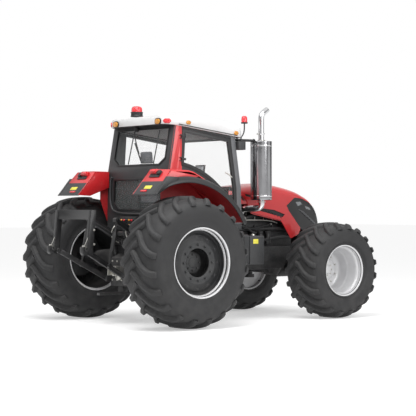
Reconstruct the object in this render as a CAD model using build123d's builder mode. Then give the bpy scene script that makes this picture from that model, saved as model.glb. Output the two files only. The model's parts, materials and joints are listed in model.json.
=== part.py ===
"""A four-wheel-drive farm tractor with a cab, wide lugged tyres and a rear quick hitch.

Millimetres, +Z up, the front at -Y and the left side at +X. Every station is measured from
the point of the ground under the rear axle, and REAR_AXLE_Y then places the origin under
the middle of the whole machine.
"""

import os
from math import cos, pi, sin, sqrt

from build123d import *

os.makedirs("parts", exist_ok=True)

# ---- driving sizes -------------------------------------------------------------------
REAR_AXLE_Y = 1475.0
WHEELBASE = 3265.0
FRONT_AXLE_Y = -WHEELBASE
FIT = 0.3  # clearance between pieces that seat on one another
SIDES = (("left", 1), ("right", -1))

# Tyres and rims: radius of the lug tips, section width, track, rim flange and width.
REAR_TYRE_R = 1025.0
REAR_TYRE_W = 874.0
REAR_TRACK = 2848.0
REAR_FLANGE_R = 548.0
REAR_RIM_W = 850.0
FRONT_TYRE_R = 810.0
FRONT_TYRE_W = 749.0
FRONT_TRACK = 2486.0
FRONT_FLANGE_R = 433.0
FRONT_RIM_W = 656.0
FLANGE_H = 26.0
RIM_WALL = 12.0
RIM_FACETS = 32  # twice the facets of a tyre and of a hub, so that their flats meet
TYRE_FACETS = RIM_FACETS // 2

# Tread: lugs on each half, their height and width, and how far round one lug reaches.
TREAD_LUGS = 16
LUG_DEPTH = 0.055  # share of the tyre's radius
LUG_TURN = 0.36  # radians
LUG_CROSS = 45.0  # past the middle of the tread
REAR_LUG_W = 62.0
FRONT_LUG_W = 50.0

# Rear wheel centre: a dished disc with hand holes round an open middle.
DISC_HOLE_R = 220.0
DISC_CREST_R = 330.0
DISC_DEPTH = 110.0  # from the outer flange to the crest of the disc
HAND_HOLES = 12
HAND_HOLE = (46.0, 84.0)
HUB_R = 185.0
HUB_DEPTH = 250.0
SHAFT_R = 55.0

# Front wheel centre, its disc near the inner flange.
FRONT_DISC_DEPTH = 510.0
FRONT_DISC_R = 200.0
KINGPIN_X = 915.0
STEER_EYE_R = 42.0

# Chassis.
TRANS_HALF = 240.0
TRANS_TOP = 1500.0
TRANS_BOTTOM = 600.0
TRANS_FRONT = -1700.0
HOUSING_END_X = 950.0
ENGINE_HALF = 300.0
RAIL_T = 60.0
ENGINE_TOP = 1780.0
RAIL_TOP = 1200.0
RAIL_LOW = 860.0
FRAME_FRONT = FRONT_AXLE_Y - 635
# The front axle swings in two saddles under the rails, in a notch of this height.
SADDLE_Y = 295.0  # from the axle to the outer face of a saddle
SADDLE_T = 50.0
NOTCH_UP = FRONT_TYRE_R + 190
TRUNNION_R = 70.0
ENGINE_FRONT = FRONT_AXLE_Y + 65
RADIATOR_Y = (FRONT_AXLE_Y - SADDLE_Y, FRONT_AXLE_Y - 135)

# Cab.
CAB_HALF = 840.0
PILLAR_T = 80.0
FLOOR_T = 100.0
DOOR_GAP = 6.0
DOOR_FRAME = 55.0
DOOR_T = 42.0
GLASS_T = 8.0
CAB_REAR_TOP = (-236.0, 3182.0)
CAB_FRONT_TOP = (-1470.0, 3032.0)
HINGE_X = CAB_HALF + 14
HINGE_Y = -372.0
HINGE_UPS = (2640.0, 3000.0)
HINGE_PIN_R = 6.0
HINGE_R = 12.0
KNUCKLE_HALF = 18.0
FENDER_HUB = (-100.0, 1000.0)  # centre of the fender's arch
ARCH_R = 1250.0
FENDER_R = 1350.0
DOOR_ARC_R = 1560.0
FENDER_X = 1330.0
BAND_X = 1404.0
ROOF_HALF = 870.0

# Hood.
HOOD_T = 14.0
HOOD_HALF = 475.0
HOOD_HINGE = (-1875.0, 2212.0)

# Exhaust.
MUFFLER = (-750.0, -2120.0)
MUFFLER_R = 180.0
MUFFLER_LOW = 1990.0
MUFFLER_HIGH = 2976.0
PIPE_TOP = 3510.0
PIPE_R = 48.0

# Rear linkage: the pins, rearward and up. Links and arms are parallel.
LINK_PIVOT = (290.0, 720.0)
LINK_RUN = (850.0, 460.0)
LINK_X_FRONT = 300.0
LINK_X_REAR = 400.0
ARM_PIVOT = (150.0, 1440.0)
ARM_SHARE = 0.5
TOP_PIN_UP = 590.0
SHAFT_LIFT_R = 45.0
PIN_R = 18.0


def side_plane(x):
    """Rearward and up, at a distance to the left."""
    return Plane(origin=(x, REAR_AXLE_Y, 0), x_dir=(0, 1, 0), z_dir=(1, 0, 0))


def cross_plane(y):
    """Left and up, at a distance rearward."""
    return Plane(origin=(0, REAR_AXLE_Y + y, 0), x_dir=(1, 0, 0), z_dir=(0, -1, 0))


def level_plane(z):
    """Left and rearward, at a height."""
    return Plane(origin=(0, REAR_AXLE_Y, z))


def add_block(x, y, z, mode=Mode.ADD):
    """A block between pairs of limits."""
    middle = (sum(x) / 2, REAR_AXLE_Y + sum(y) / 2, sum(z) / 2)
    with Locations(middle):
        Box(abs(x[1] - x[0]), abs(y[1] - y[0]), abs(z[1] - z[0]), mode=mode)


def add_plate(outline, x, mode=Mode.ADD):
    """A plate with an outline of (rearward, up) points, between two distances to the left."""
    with BuildSketch(side_plane(x[0])) as profile:
        with BuildLine():
            Polyline(*outline, close=True)
        make_face()
    extrude(profile.sketch, amount=x[1] - x[0], mode=mode)


def add_cross(outline, y, mode=Mode.ADD):
    """A plate with an outline of (left, up) points, between two distances rearward."""
    with BuildSketch(cross_plane(y[0])) as profile:
        with BuildLine():
            Polyline(*outline, close=True)
        make_face()
    extrude(profile.sketch, amount=y[0] - y[1], mode=mode)


def add_tube(route, radius, bend=0, mode=Mode.ADD):
    """A round bar along (left, rearward, up) points, every bend of one radius or mitred."""
    points = [Vector(x, REAR_AXLE_Y + y, z) for x, y, z in route]
    with BuildLine() as path:
        if bend:
            FilletPolyline(*points, radius=bend)
        else:
            Polyline(*points)
    with BuildSketch(Plane(origin=points[0], z_dir=points[1] - points[0])) as section:
        Circle(radius)
    corner = Transition.TRANSFORMED if bend else Transition.RIGHT
    sweep(section.sketch, path=path.wires()[0], transition=corner, mode=mode)


def add_pin(middle, radius, length, axis, mode=Mode.ADD):
    """A short cylinder through a (left, rearward, up) point."""
    x, y, z = middle
    at = Vector(x, REAR_AXLE_Y + y, z)
    with BuildSketch(Plane(origin=at - Vector(*axis) * (length / 2), z_dir=axis)) as section:
        Circle(radius)
    extrude(section.sketch, amount=length, mode=mode)


def add_ring(side, x, y, z, profile, facets, mode=Mode.ADD):
    """A ring of flat facets round a wheel's axis, from (outward, radius) points."""
    centre = (side * x, REAR_AXLE_Y + y, z)
    path_r = max(r for _, r in profile)
    turns = [2 * pi * (k + 0.5) / facets for k in range(facets)]
    corners = [(path_r * cos(a), path_r * sin(a)) for a in turns]
    start = (path_r * cos(pi / facets), 0)
    with BuildLine(Plane(origin=centre, x_dir=(0, 0, -1), z_dir=(1, 0, 0))) as path:
        Polyline(start, *corners, start)
    with BuildSketch(Plane(origin=centre, x_dir=(side, 0, 0), z_dir=(0, side, 0))) as section:
        with BuildLine():
            Polyline(*profile, close=True)
        make_face()
    sweep(section.sketch, path=path.wires()[0], transition=Transition.RIGHT, mode=mode)


def save(piece, name):
    piece.part.label = name
    export_step(piece.part, f"parts/{name}.step")


# ---- wheels --------------------------------------------------------------------------
REAR_HALF = REAR_RIM_W / 2
REAR_SEAT_R = REAR_FLANGE_R - FLANGE_H
REAR_BORE_R = REAR_SEAT_R - RIM_WALL
REAR_TYRE_HALF = REAR_TYRE_W / 2
REAR_X = REAR_TRACK / 2
DISC_OUT = REAR_HALF - DISC_DEPTH
REAR_RIM = [
    (REAR_HALF, REAR_FLANGE_R),
    (REAR_HALF - 16, REAR_SEAT_R),
    (16 - REAR_HALF, REAR_SEAT_R),
    (-REAR_HALF, REAR_FLANGE_R),
    (2 - REAR_HALF, REAR_FLANGE_R - 14),
    (20 - REAR_HALF, REAR_BORE_R),
    (DISC_OUT - 70, REAR_BORE_R - 10),
    (DISC_OUT - 16, DISC_CREST_R),
    (DISC_OUT - 23, DISC_HOLE_R),
    (DISC_OUT - 7, DISC_HOLE_R),
    (DISC_OUT, DISC_CREST_R),
    (DISC_OUT - 53, REAR_BORE_R - 10),
    (REAR_HALF - 75, REAR_BORE_R - 10),
    (REAR_HALF - 75, REAR_BORE_R),
    (REAR_HALF - 20, REAR_BORE_R),
    (REAR_HALF - 2, REAR_FLANGE_R - 14),
]


def mirrored(half):
    """A profile from the outer bead to the crown, and back down the other side."""
    return half + [(-out, r) for out, r in reversed(half)]


REAR_TYRE = mirrored(
    [
        (REAR_HALF - 16 - FIT, REAR_SEAT_R + FIT),
        (REAR_HALF - FIT, REAR_FLANGE_R + FIT),
        (REAR_TYRE_HALF, REAR_TYRE_R * 0.70),
        (REAR_TYRE_HALF - 40, REAR_TYRE_R * 0.86),
        (REAR_TYRE_HALF - 200, REAR_TYRE_R * (1 - LUG_DEPTH) - 10),
    ]
)
FRONT_HALF = FRONT_RIM_W / 2
FRONT_SEAT_R = FRONT_FLANGE_R - FLANGE_H + 4
FRONT_BORE_R = FRONT_SEAT_R - RIM_WALL
FRONT_TYRE_HALF = FRONT_TYRE_W / 2
FRONT_X = FRONT_TRACK / 2
FRONT_DISC_OUT = FRONT_HALF - FRONT_DISC_DEPTH
FRONT_RIM = [
    (FRONT_HALF, FRONT_FLANGE_R),
    (FRONT_HALF - 14, FRONT_SEAT_R),
    (FRONT_HALF - 88, FRONT_SEAT_R),
    (FRONT_HALF - 100, FRONT_SEAT_R - 20),
    (FRONT_DISC_OUT - 48, FRONT_SEAT_R - 49),
    (FRONT_DISC_OUT - 58, FRONT_SEAT_R),
    (14 - FRONT_HALF, FRONT_SEAT_R),
    (-FRONT_HALF, FRONT_FLANGE_R),
    (2 - FRONT_HALF, FRONT_BORE_R + 3),
    (FRONT_DISC_OUT - 50, FRONT_BORE_R - 49),
    (FRONT_DISC_OUT - 32, FRONT_DISC_R),
    (FRONT_DISC_OUT, FRONT_DISC_R),
    (FRONT_DISC_OUT + 12, FRONT_BORE_R - 69),
    (FRONT_HALF - 300, FRONT_BORE_R - 51),
    (FRONT_HALF - 90, FRONT_BORE_R - 22),
    (FRONT_HALF - 16, FRONT_BORE_R),
]
FRONT_TYRE = mirrored(
    [
        (FRONT_HALF - 14 - FIT, FRONT_SEAT_R + FIT),
        (FRONT_HALF - FIT, FRONT_FLANGE_R + FIT),
        (FRONT_TYRE_HALF, FRONT_TYRE_R * 0.70),
        (FRONT_TYRE_HALF - 34, FRONT_TYRE_R * 0.86),
        (FRONT_TYRE_HALF - 170, FRONT_TYRE_R * (1 - LUG_DEPTH) - 8),
    ]
)
HUB_OUT = REAR_HALF - HUB_DEPTH
REAR_HUB = [
    (HUB_OUT, SHAFT_R - 1),
    (HUB_OUT, HUB_R),
    (HUB_OUT - 80, HUB_R),
    (HUB_OUT - 80, DISC_CREST_R - 20),
    (DISC_OUT - 17.6, DISC_CREST_R - 20),
    (DISC_OUT - 16.8, DISC_CREST_R - 8),
    (HUB_OUT - 100, DISC_CREST_R - 8),
    (HUB_OUT - 100, SHAFT_R - 1),
]
SPINDLE_R = 60.0
HUB_BACK = FRONT_DISC_OUT - 58
FRONT_HUB = [
    (HUB_BACK, SPINDLE_R + FIT),
    (HUB_BACK, FRONT_DISC_R + 40),
    (HUB_BACK + 20, FRONT_DISC_R + 40),
    (HUB_BACK + 20, FRONT_DISC_R - 8),
    (FRONT_DISC_OUT + 60, FRONT_DISC_R - 14),
    (FRONT_DISC_OUT + 84, FRONT_DISC_R - 60),
    (FRONT_DISC_OUT + 84, SPINDLE_R + FIT),
]


def add_lug(radius, half, width, hand, start):
    """One lug near the origin, its wheel's axis along Z: a flat-topped bar, slanted and bevelled."""
    reach = half - 20 + LUG_CROSS
    back = LUG_TURN * radius
    run = sqrt(reach**2 + back**2)
    flat = sqrt(radius**2 - ((back + width) / 2) ** 2)
    depth = LUG_DEPTH * radius
    turn = start - LUG_TURN / 2
    outward = Vector(cos(turn), sin(turn), 0)
    forward = Vector(-sin(turn), cos(turn), 0)
    along = (Vector(0, 0, hand * reach) - forward * back) * (1 / run)
    middle = Vector(0, 0, hand * (reach / 2 - LUG_CROSS)) + outward * flat
    with BuildSketch(Plane(origin=middle, x_dir=along, z_dir=along.cross(outward))) as section:
        with BuildLine():
            Polyline(
                (-run / 2, 0),
                (run / 2 - 2.4 * depth, 0),
                (run / 2, -2.1 * depth),
                (run / 2, -3.6 * depth),
                (0, -1.4 * depth),
                (-run / 2, -1.4 * depth),
                close=True,
            )
        make_face()
    extrude(section.sketch, amount=width / 2, both=True)


def lug_pair(radius, half, width, count):
    """The two lugs that a tread repeats: one each side of its middle, half a step apart."""
    lugs = []
    for hand, start in ((1, 0.0), (-1, pi / count)):
        with BuildPart() as lug:
            add_lug(radius, half, width, hand, start)
        lugs.append(lug.part)
    return lugs


def add_tread(x, y, z, lugs, count):
    """Copies of both lugs round the left wheel's axis."""
    with Locations(Plane(origin=(x, REAR_AXLE_Y + y, z), x_dir=(0, 1, 0), z_dir=(1, 0, 0))):
        with PolarLocations(0, count):
            add(lugs)


rear_lugs = lug_pair(REAR_TYRE_R, REAR_TYRE_HALF, REAR_LUG_W, TREAD_LUGS)
with BuildPart() as rear_tyre:
    add_ring(1, REAR_X, 0, REAR_TYRE_R, REAR_TYRE, TYRE_FACETS)
    add_tread(REAR_X, 0, REAR_TYRE_R, rear_lugs, TREAD_LUGS)
front_lugs = lug_pair(FRONT_TYRE_R, FRONT_TYRE_HALF, FRONT_LUG_W, TREAD_LUGS)
with BuildPart() as front_tyre:
    add_ring(1, FRONT_X, FRONT_AXLE_Y, FRONT_TYRE_R, FRONT_TYRE, TYRE_FACETS)
    add_tread(FRONT_X, FRONT_AXLE_Y, FRONT_TYRE_R, front_lugs, TREAD_LUGS)

for name, side in SIDES:
    for kind, made in (("rear", rear_tyre), ("front", front_tyre)):
        with BuildPart() as tyre:
            if side > 0:
                add(made.part)
            else:
                mirror(made.part, about=Plane.YZ)
        save(tyre, f"tyre_{kind}_{name}")
    with BuildPart() as rim:
        add_ring(side, REAR_X, 0, REAR_TYRE_R, REAR_RIM, RIM_FACETS)
        hole_plane = Plane(origin=(side * REAR_X, REAR_AXLE_Y, REAR_TYRE_R), z_dir=(side, 0, 0))
        with BuildSketch(hole_plane) as hole:
            with PolarLocations(DISC_CREST_R + 55, HAND_HOLES):
                Rectangle(*HAND_HOLE)
            chamfer(hole.vertices(), HAND_HOLE[0] / 4)
        extrude(amount=REAR_HALF, mode=Mode.SUBTRACT)
    save(rim, f"rim_rear_{name}")
    with BuildPart() as shaft:
        add_ring(side, REAR_X, 0, REAR_TYRE_R, REAR_HUB, RIM_FACETS // 2)
        shaft_in = TRANS_HALF + 200
        shaft_out = REAR_X + HUB_OUT + 10
        add_pin((side * (shaft_in + shaft_out) / 2, 0, REAR_TYRE_R), SHAFT_R, shaft_out - shaft_in, (1, 0, 0))
    save(shaft, f"axle_shaft_{name}")
    with BuildPart() as rim:
        add_ring(side, FRONT_X, FRONT_AXLE_Y, FRONT_TYRE_R, FRONT_RIM, RIM_FACETS)
    save(rim, f"rim_front_{name}")
    with BuildPart() as hub:
        add_ring(side, FRONT_X, FRONT_AXLE_Y, FRONT_TYRE_R, FRONT_HUB, RIM_FACETS // 2)
    save(hub, f"hub_front_{name}")

# ---- chassis -------------------------------------------------------------------------
with BuildPart() as transmission:
    add_plate(
        [
            (250, TRANS_BOTTOM),
            (250, 1050),
            (100, 1120),
            (100, 1450),
            (0, TRANS_TOP),
            (TRANS_FRONT, TRANS_TOP),
            (TRANS_FRONT, 800),
            (-900, 700),
            (-400, TRANS_BOTTOM),
        ],
        (-TRANS_HALF, TRANS_HALF),
    )
    for _, side in SIDES:
        # Ears that carry the lower links.
        add_block(
            (side * TRANS_HALF, side * (LINK_X_FRONT - 26)),
            (LINK_PIVOT[0] - 200, LINK_PIVOT[0] + 40),
            (LINK_PIVOT[1] - 50, LINK_PIVOT[1] + 50),
        )
        add_pin((side * (LINK_X_FRONT - 15), *LINK_PIVOT), PIN_R, 80, (1, 0, 0))
        # Ears of the top link.
        add_plate(
            [(90, 1250), (90, 1370), (230, 1350), (230, 1270)], (side * 26, side * 46)
        )
        # Bearings of the lift shaft.
        add_block(
            (side * 150, side * 190),
            (90, ARM_PIVOT[0] + 70),
            (ARM_PIVOT[1] - 66, ARM_PIVOT[1] + 52),
        )
        add_pin((side * 170, *ARM_PIVOT), SHAFT_LIFT_R + FIT, 60, (1, 0, 0), Mode.SUBTRACT)
    add_pin((0, LINK_PIVOT[0] - 120, LINK_PIVOT[1] + TOP_PIN_UP), PIN_R, 60, (1, 0, 0))
save(transmission, "transmission")

HOUSING = [
    (TRANS_HALF + FIT, SHAFT_R + FIT),
    (TRANS_HALF + FIT, 270),
    (TRANS_HALF + 45, 270),
    (TRANS_HALF + 80, 190),
    (HOUSING_END_X, 130),
    (HOUSING_END_X, SHAFT_R + FIT),
]
with BuildPart() as housing:
    for _, side in SIDES:
        add_ring(side, 0, 0, REAR_TYRE_R, HOUSING, 20)
save(housing, "rear_axle_housing")

with BuildPart() as engine:
    add_block((-ENGINE_HALF, ENGINE_HALF), (ENGINE_FRONT, TRANS_FRONT - FIT), (NOTCH_UP + FIT, ENGINE_TOP))
save(engine, "engine_block")

with BuildPart() as front_frame:
    for _, side in SIDES:
        add_plate(
            [
                (TRANS_FRONT - FIT, 800),
                (TRANS_FRONT - FIT, RAIL_TOP),
                (FRAME_FRONT, RAIL_TOP),
                (FRAME_FRONT, RAIL_LOW),
                (FRONT_AXLE_Y - SADDLE_Y, RAIL_LOW),
                (FRONT_AXLE_Y - SADDLE_Y + 80, NOTCH_UP),
                (FRONT_AXLE_Y + SADDLE_Y - 80, NOTCH_UP),
                (FRONT_AXLE_Y + SADDLE_Y, RAIL_LOW - 40),
            ],
            (side * ENGINE_HALF, side * (ENGINE_HALF + RAIL_T)),
        )
    add_block((-ENGINE_HALF, ENGINE_HALF), (FRAME_FRONT, FRAME_FRONT + 60), (RAIL_LOW, RAIL_TOP))
    for y in (FRONT_AXLE_Y - SADDLE_Y, FRONT_AXLE_Y + SADDLE_Y - SADDLE_T):
        add_cross(
            [
                (-ENGINE_HALF, NOTCH_UP),
                (ENGINE_HALF, NOTCH_UP),
                (ENGINE_HALF, NOTCH_UP - 140),
                (150, FRONT_TYRE_R - 120),
                (-150, FRONT_TYRE_R - 120),
                (-ENGINE_HALF, NOTCH_UP - 140),
            ],
            (y, y + SADDLE_T),
        )
        bore_at = (0, y + SADDLE_T / 2, FRONT_TYRE_R)
        add_pin(bore_at, TRUNNION_R + FIT, SADDLE_T + 10, (0, 1, 0), Mode.SUBTRACT)
save(front_frame, "front_frame")

# The front bracket: a block on the frame's end, with a towing jaw and its pin's bore.
BRACKET_FRONT = FRAME_FRONT - 230
JAW_FRONT = BRACKET_FRONT - 132
TOWING_PIN_R = 16.0
with BuildPart() as bracket:
    add_plate(
        [
            (FRAME_FRONT - FIT, RAIL_LOW),
            (FRAME_FRONT - FIT, RAIL_TOP),
            (BRACKET_FRONT, RAIL_TOP),
            (BRACKET_FRONT - 50, RAIL_TOP - 70),
            (BRACKET_FRONT - 50, RAIL_TOP - 140),
            (JAW_FRONT, RAIL_TOP - 140),
            (JAW_FRONT, RAIL_LOW + 20),
            (BRACKET_FRONT - 40, RAIL_LOW + 20),
            (BRACKET_FRONT, RAIL_LOW),
        ],
        (-ENGINE_HALF, ENGINE_HALF),
    )
    add_block((-80, 80), (JAW_FRONT - 1, BRACKET_FRONT + 10), (930, 1000), Mode.SUBTRACT)
    add_pin((0, JAW_FRONT + 52, 950), TOWING_PIN_R, 400, (0, 0, 1), Mode.SUBTRACT)
save(bracket, "front_bracket")

with BuildPart() as axle:
    # The pivot trunnion along the machine, the differential and the two arms.
    add_pin((0, FRONT_AXLE_Y, FRONT_TYRE_R), TRUNNION_R, 2 * SADDLE_Y - 2, (0, 1, 0))
    add_pin((0, FRONT_AXLE_Y, FRONT_TYRE_R), 160, 380, (0, 1, 0))
    for _, side in SIDES:
        arm = Plane(
            origin=(0, REAR_AXLE_Y + FRONT_AXLE_Y, FRONT_TYRE_R), x_dir=(0, 1, 0), z_dir=(side, 0, 0)
        )
        with BuildSketch(arm.offset(100), arm.offset(KINGPIN_X - 115)):
            RegularPolygon(110, 12)
        loft(ruled=True)
        add_block(
            (side * (KINGPIN_X - 120), side * KINGPIN_X),
            (FRONT_AXLE_Y - 38, FRONT_AXLE_Y + 38),
            (FRONT_TYRE_R - 90, FRONT_TYRE_R + 90),
        )
        add_pin((side * KINGPIN_X, FRONT_AXLE_Y, FRONT_TYRE_R), STEER_EYE_R, 300 - 2 * FIT, (0, 0, 1))
save(axle, "front_axle")

for name, side in SIDES:
    with BuildPart() as knuckle:
        for low in (FRONT_TYRE_R - 210, FRONT_TYRE_R + 150):
            add_block(
                (side * (KINGPIN_X - 55), side * (KINGPIN_X + 50)),
                (FRONT_AXLE_Y - 70, FRONT_AXLE_Y + 70),
                (low, low + 60),
            )
        add_block(
            (side * (KINGPIN_X + 50), side * (FRONT_X + HUB_BACK - FIT)),
            (FRONT_AXLE_Y - 120, FRONT_AXLE_Y + 120),
            (FRONT_TYRE_R - 210, FRONT_TYRE_R + 210),
        )
        spindle = FRONT_X + FRONT_DISC_OUT + 80 - (KINGPIN_X + 60)
        add_pin(
            (side * (KINGPIN_X + 60 + spindle / 2), FRONT_AXLE_Y, FRONT_TYRE_R),
            SPINDLE_R,
            spindle,
            (1, 0, 0),
        )
    save(knuckle, f"knuckle_{name}")

# ---- cab -----------------------------------------------------------------------------
FLOOR_TOP = TRANS_TOP + FIT + FLOOR_T
INNER_HALF = CAB_HALF - PILLAR_T
CAB_SIDE = [
    CAB_FRONT_TOP,
    (-1600, 2190),
    (-1620, FLOOR_TOP),
    (-90, FLOOR_TOP),
    (-110, 2480),
    CAB_REAR_TOP,
]
ROOF_SLOPE = (CAB_REAR_TOP[1] - CAB_FRONT_TOP[1]) / (CAB_REAR_TOP[0] - CAB_FRONT_TOP[0])


def roof_seat(y):
    """Height of the cab frame's top at a station."""
    return CAB_REAR_TOP[1] + ROOF_SLOPE * (y - CAB_REAR_TOP[0]) + FIT


def arch_up(radius, y):
    """Height of a circle round the fender's centre at a station."""
    return FENDER_HUB[1] + sqrt(radius**2 - (y - FENDER_HUB[0]) ** 2)


def arch_point(radius, y):
    return (y, arch_up(radius, y))


def door_outline(inset):
    """The door: straight to the pillars and the roof, and round the fender below."""
    radius = DOOR_ARC_R + inset
    rear_low = arch_point(radius, -362 - inset)
    front_low = arch_point(radius, -1500 + inset)
    middle = arch_point(radius, -1000)
    with BuildLine() as line:
        ThreePointArc(rear_low, middle, front_low)
        Polyline(
            front_low,
            (-1522 + inset, front_low[1]),
            (-1508 + inset, 2190),
            (-1384 + inset, 3002 - inset),
            (-392 - inset, 3122 - inset),
            rear_low,
        )
    return line.line


with BuildPart() as floor:
    add_block((-CAB_HALF, CAB_HALF), (-1620, -90), (TRANS_TOP + FIT, FLOOR_TOP - FIT))
    add_block((-190, 190), (-760, -380), (FLOOR_TOP - 1, FLOOR_TOP + 330))
save(floor, "cab_floor")

with BuildPart() as cab_frame:
    for _, side in SIDES:
        walls = (side * INNER_HALF, side * CAB_HALF)
        add_plate(CAB_SIDE, walls)
        with BuildSketch(side_plane(walls[0])) as opening:
            with BuildLine():
                add(door_outline(0))
            make_face()
        extrude(opening.sketch, amount=walls[1] - walls[0], mode=Mode.SUBTRACT)
        # Door hinges: two lugs on the rear pillar with a pin between them.
        for up in HINGE_UPS:
            for low in (up - KNUCKLE_HALF - 14, up + KNUCKLE_HALF):
                add_block(
                    (side * (CAB_HALF - 1), side * (HINGE_X + HINGE_R)),
                    (HINGE_Y + 20, HINGE_Y + 42),
                    (low, low + 14),
                )
                add_block(
                    (side * (HINGE_X - 9), side * (HINGE_X + HINGE_R)),
                    (HINGE_Y - 8, HINGE_Y + 21),
                    (low, low + 14),
                )
            add_pin((side * HINGE_X, HINGE_Y, up), HINGE_PIN_R, 2 * KNUCKLE_HALF + 2, (0, 0, 1))
    inner = (-INNER_HALF, INNER_HALF)
    # Rear wall with its two windows, front wall and front header.
    add_plate(
        [
            (-90, FLOOR_TOP),
            (-110, 2480),
            (-236, 3182),
            (-276, 3176),
            (-150, 2478),
            (-130, FLOOR_TOP),
        ],
        inner,
    )
    add_cross(
        [(-700, 3130), (700, 3130), (700, 2671), (560, 2571), (-560, 2571), (-700, 2671)],
        (-400, 0),
        Mode.SUBTRACT,
    )
    add_cross(
        [(-640, 2312), (640, 2312), (640, 1957), (500, 1840), (-500, 1840), (-640, 1957)],
        (-400, 0),
        Mode.SUBTRACT,
    )
    add_plate([(-1620, FLOOR_TOP), (-1606, 2080), (-1566, 2080), (-1580, FLOOR_TOP)], inner)
    add_plate([(-1470, 3032), (-1461, 2975), (-1421, 2975), (-1421, 3026)], inner)
save(cab_frame, "cab_frame")

with BuildPart() as rear_windows:
    add_plate(
        [(-112, 1800), (-128, 2476), (-251, 3176), (-251 - GLASS_T, 3176), (-136, 2476), (-120, 1800)],
        inner,
    )
    with BuildSketch(cross_plane(-400)) as panes:
        with BuildLine():
            Polyline(
                (-700 + FIT, 3130 - FIT),
                (700 - FIT, 3130 - FIT),
                (700 - FIT, 2671),
                (560, 2571 + FIT),
                (-560, 2571 + FIT),
                (-700 + FIT, 2671),
                close=True,
            )
        make_face()
        with BuildLine():
            Polyline(
                (-640 + FIT, 2312 - FIT),
                (640 - FIT, 2312 - FIT),
                (640 - FIT, 1957),
                (500, 1840 + FIT),
                (-500, 1840 + FIT),
                (-640 + FIT, 1957),
                close=True,
            )
        make_face()
    extrude(panes.sketch, amount=-400, mode=Mode.INTERSECT)
save(rear_windows, "rear_windows")

with BuildPart() as windshield:
    # A bent pane between the front pillars, from the cowl to the header.
    for up, edge, bulge in ((2080 + FIT, -1606, 130), (2975 - FIT, -1484, 110)):
        half = INNER_HALF - FIT
        with BuildSketch(level_plane(up)):
            with BuildLine():
                ThreePointArc((-half, edge), (0, edge - bulge), (half, edge))
                Line((half, edge), (half, edge + GLASS_T))
                ThreePointArc(
                    (half, edge + GLASS_T), (0, edge - bulge + GLASS_T), (-half, edge + GLASS_T)
                )
                Line((-half, edge + GLASS_T), (-half, edge))
            make_face()
    loft(ruled=True)
save(windshield, "windshield")

for name, side in SIDES:
    with BuildPart() as door:
        outer = side * (CAB_HALF - 2)
        with BuildSketch(side_plane(outer)) as frame:
            with BuildLine():
                add(door_outline(DOOR_GAP))
            make_face()
            with BuildLine():
                add(door_outline(DOOR_GAP + DOOR_FRAME))
            make_face(mode=Mode.SUBTRACT)
        extrude(frame.sketch, amount=-side * DOOR_T)
        for up in HINGE_UPS:
            half = KNUCKLE_HALF - FIT
            leaf = (up - half, up + half)
            leaf_out = side * (HINGE_X + HINGE_R)
            add_block((outer - side, leaf_out), (HINGE_Y - 70, HINGE_Y - 35), leaf)
            add_block((side * (HINGE_X - HINGE_R), leaf_out), (HINGE_Y - 70, HINGE_Y), leaf)
            add_pin((side * HINGE_X, HINGE_Y, up), HINGE_R, 2 * half, (0, 0, 1))
            hole = HINGE_PIN_R + FIT
            add_pin((side * HINGE_X, HINGE_Y, up), hole, 2 * half + 10, (0, 0, 1), Mode.SUBTRACT)
    save(door, f"door_{name}")
    with BuildPart() as pane:
        with BuildSketch(side_plane(outer - side * 15)) as glass:
            with BuildLine():
                add(door_outline(DOOR_GAP + DOOR_FRAME + FIT))
            make_face()
        extrude(glass.sketch, amount=-side * GLASS_T)
    save(pane, f"door_glass_{name}")

ROOF_REAR = -95.0
ROOF_REAR_HALF = 700.0
ROOF_CORNER = -190.0
ROOF_CORNER_HALF = 835.0
ROOF_SHOULDER = 140.0
with BuildPart() as roof:
    # Stations from the rear edge to the nose: half width, eave, shoulder and crown.
    for y, half, eave, shoulder, crown in (
        (ROOF_REAR, ROOF_REAR_HALF, roof_seat(ROOF_REAR), 3288, 3335),
        (ROOF_CORNER, ROOF_CORNER_HALF, roof_seat(ROOF_CORNER), 3292, 3348),
        (-400, ROOF_HALF, roof_seat(-400), 3299, 3373),
        (-650, ROOF_HALF, roof_seat(-650), 3310, 3402),
        (-1250, ROOF_HALF, roof_seat(-1250), 3232, 3335),
        (-1540, ROOF_HALF, roof_seat(-1540), 3165, 3270),
        (-1640, ROOF_HALF - 70, 3090, 3145, 3225),
    ):
        flank = half - ROOF_SHOULDER
        edge = shoulder + 45
        with BuildSketch(cross_plane(y)):
            with BuildLine():
                Polyline((-flank, edge), (-half, shoulder), (-half, eave))
                Polyline((-half, eave), (half, eave), (half, shoulder), (flank, edge))
                ThreePointArc((flank, edge), (0, crown), (-flank, edge))
            make_face()
    loft(ruled=True)
    # Seat of the beacon.
    add_pin((450, -420, 3356), 112, 40, (0, 0, 1))
save(roof, "roof")

for name, side in SIDES:
    inner_x = side * (CAB_HALF + FIT)
    with BuildPart() as fender:
        with BuildSketch(side_plane(inner_x)) as arch:
            with BuildLine():
                low_front = arch_point(ARCH_R + 50, -1240)
                high_front = arch_point(FENDER_R, -1290)
                shoulder = arch_point(FENDER_R, -560)
                low_rear = (534, 2072)
                inner_rear = arch_point(ARCH_R + 50, 400)
                ThreePointArc(high_front, arch_point(FENDER_R, -960), shoulder)
                Polyline(shoulder, (-230, 2440), (207, 2459), low_rear, inner_rear)
                ThreePointArc(inner_rear, arch_point(ARCH_R + 50, -400), low_front)
                Line(low_front, high_front)
            make_face()
        extrude(arch.sketch, amount=side * FENDER_X - inner_x)
        # Recess of the rear lamps.
        rear_slope = Plane(
            origin=(side * 1100, REAR_AXLE_Y + 207, 2459), x_dir=(1, 0, 0), z_dir=(0, 387, 327)
        )
        with BuildSketch(rear_slope) as pocket:
            with Locations((0, 140)):
                Rectangle(280, 110)
        extrude(pocket.sketch, amount=30, both=True, mode=Mode.SUBTRACT)
    save(fender, f"fender_{name}")

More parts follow.
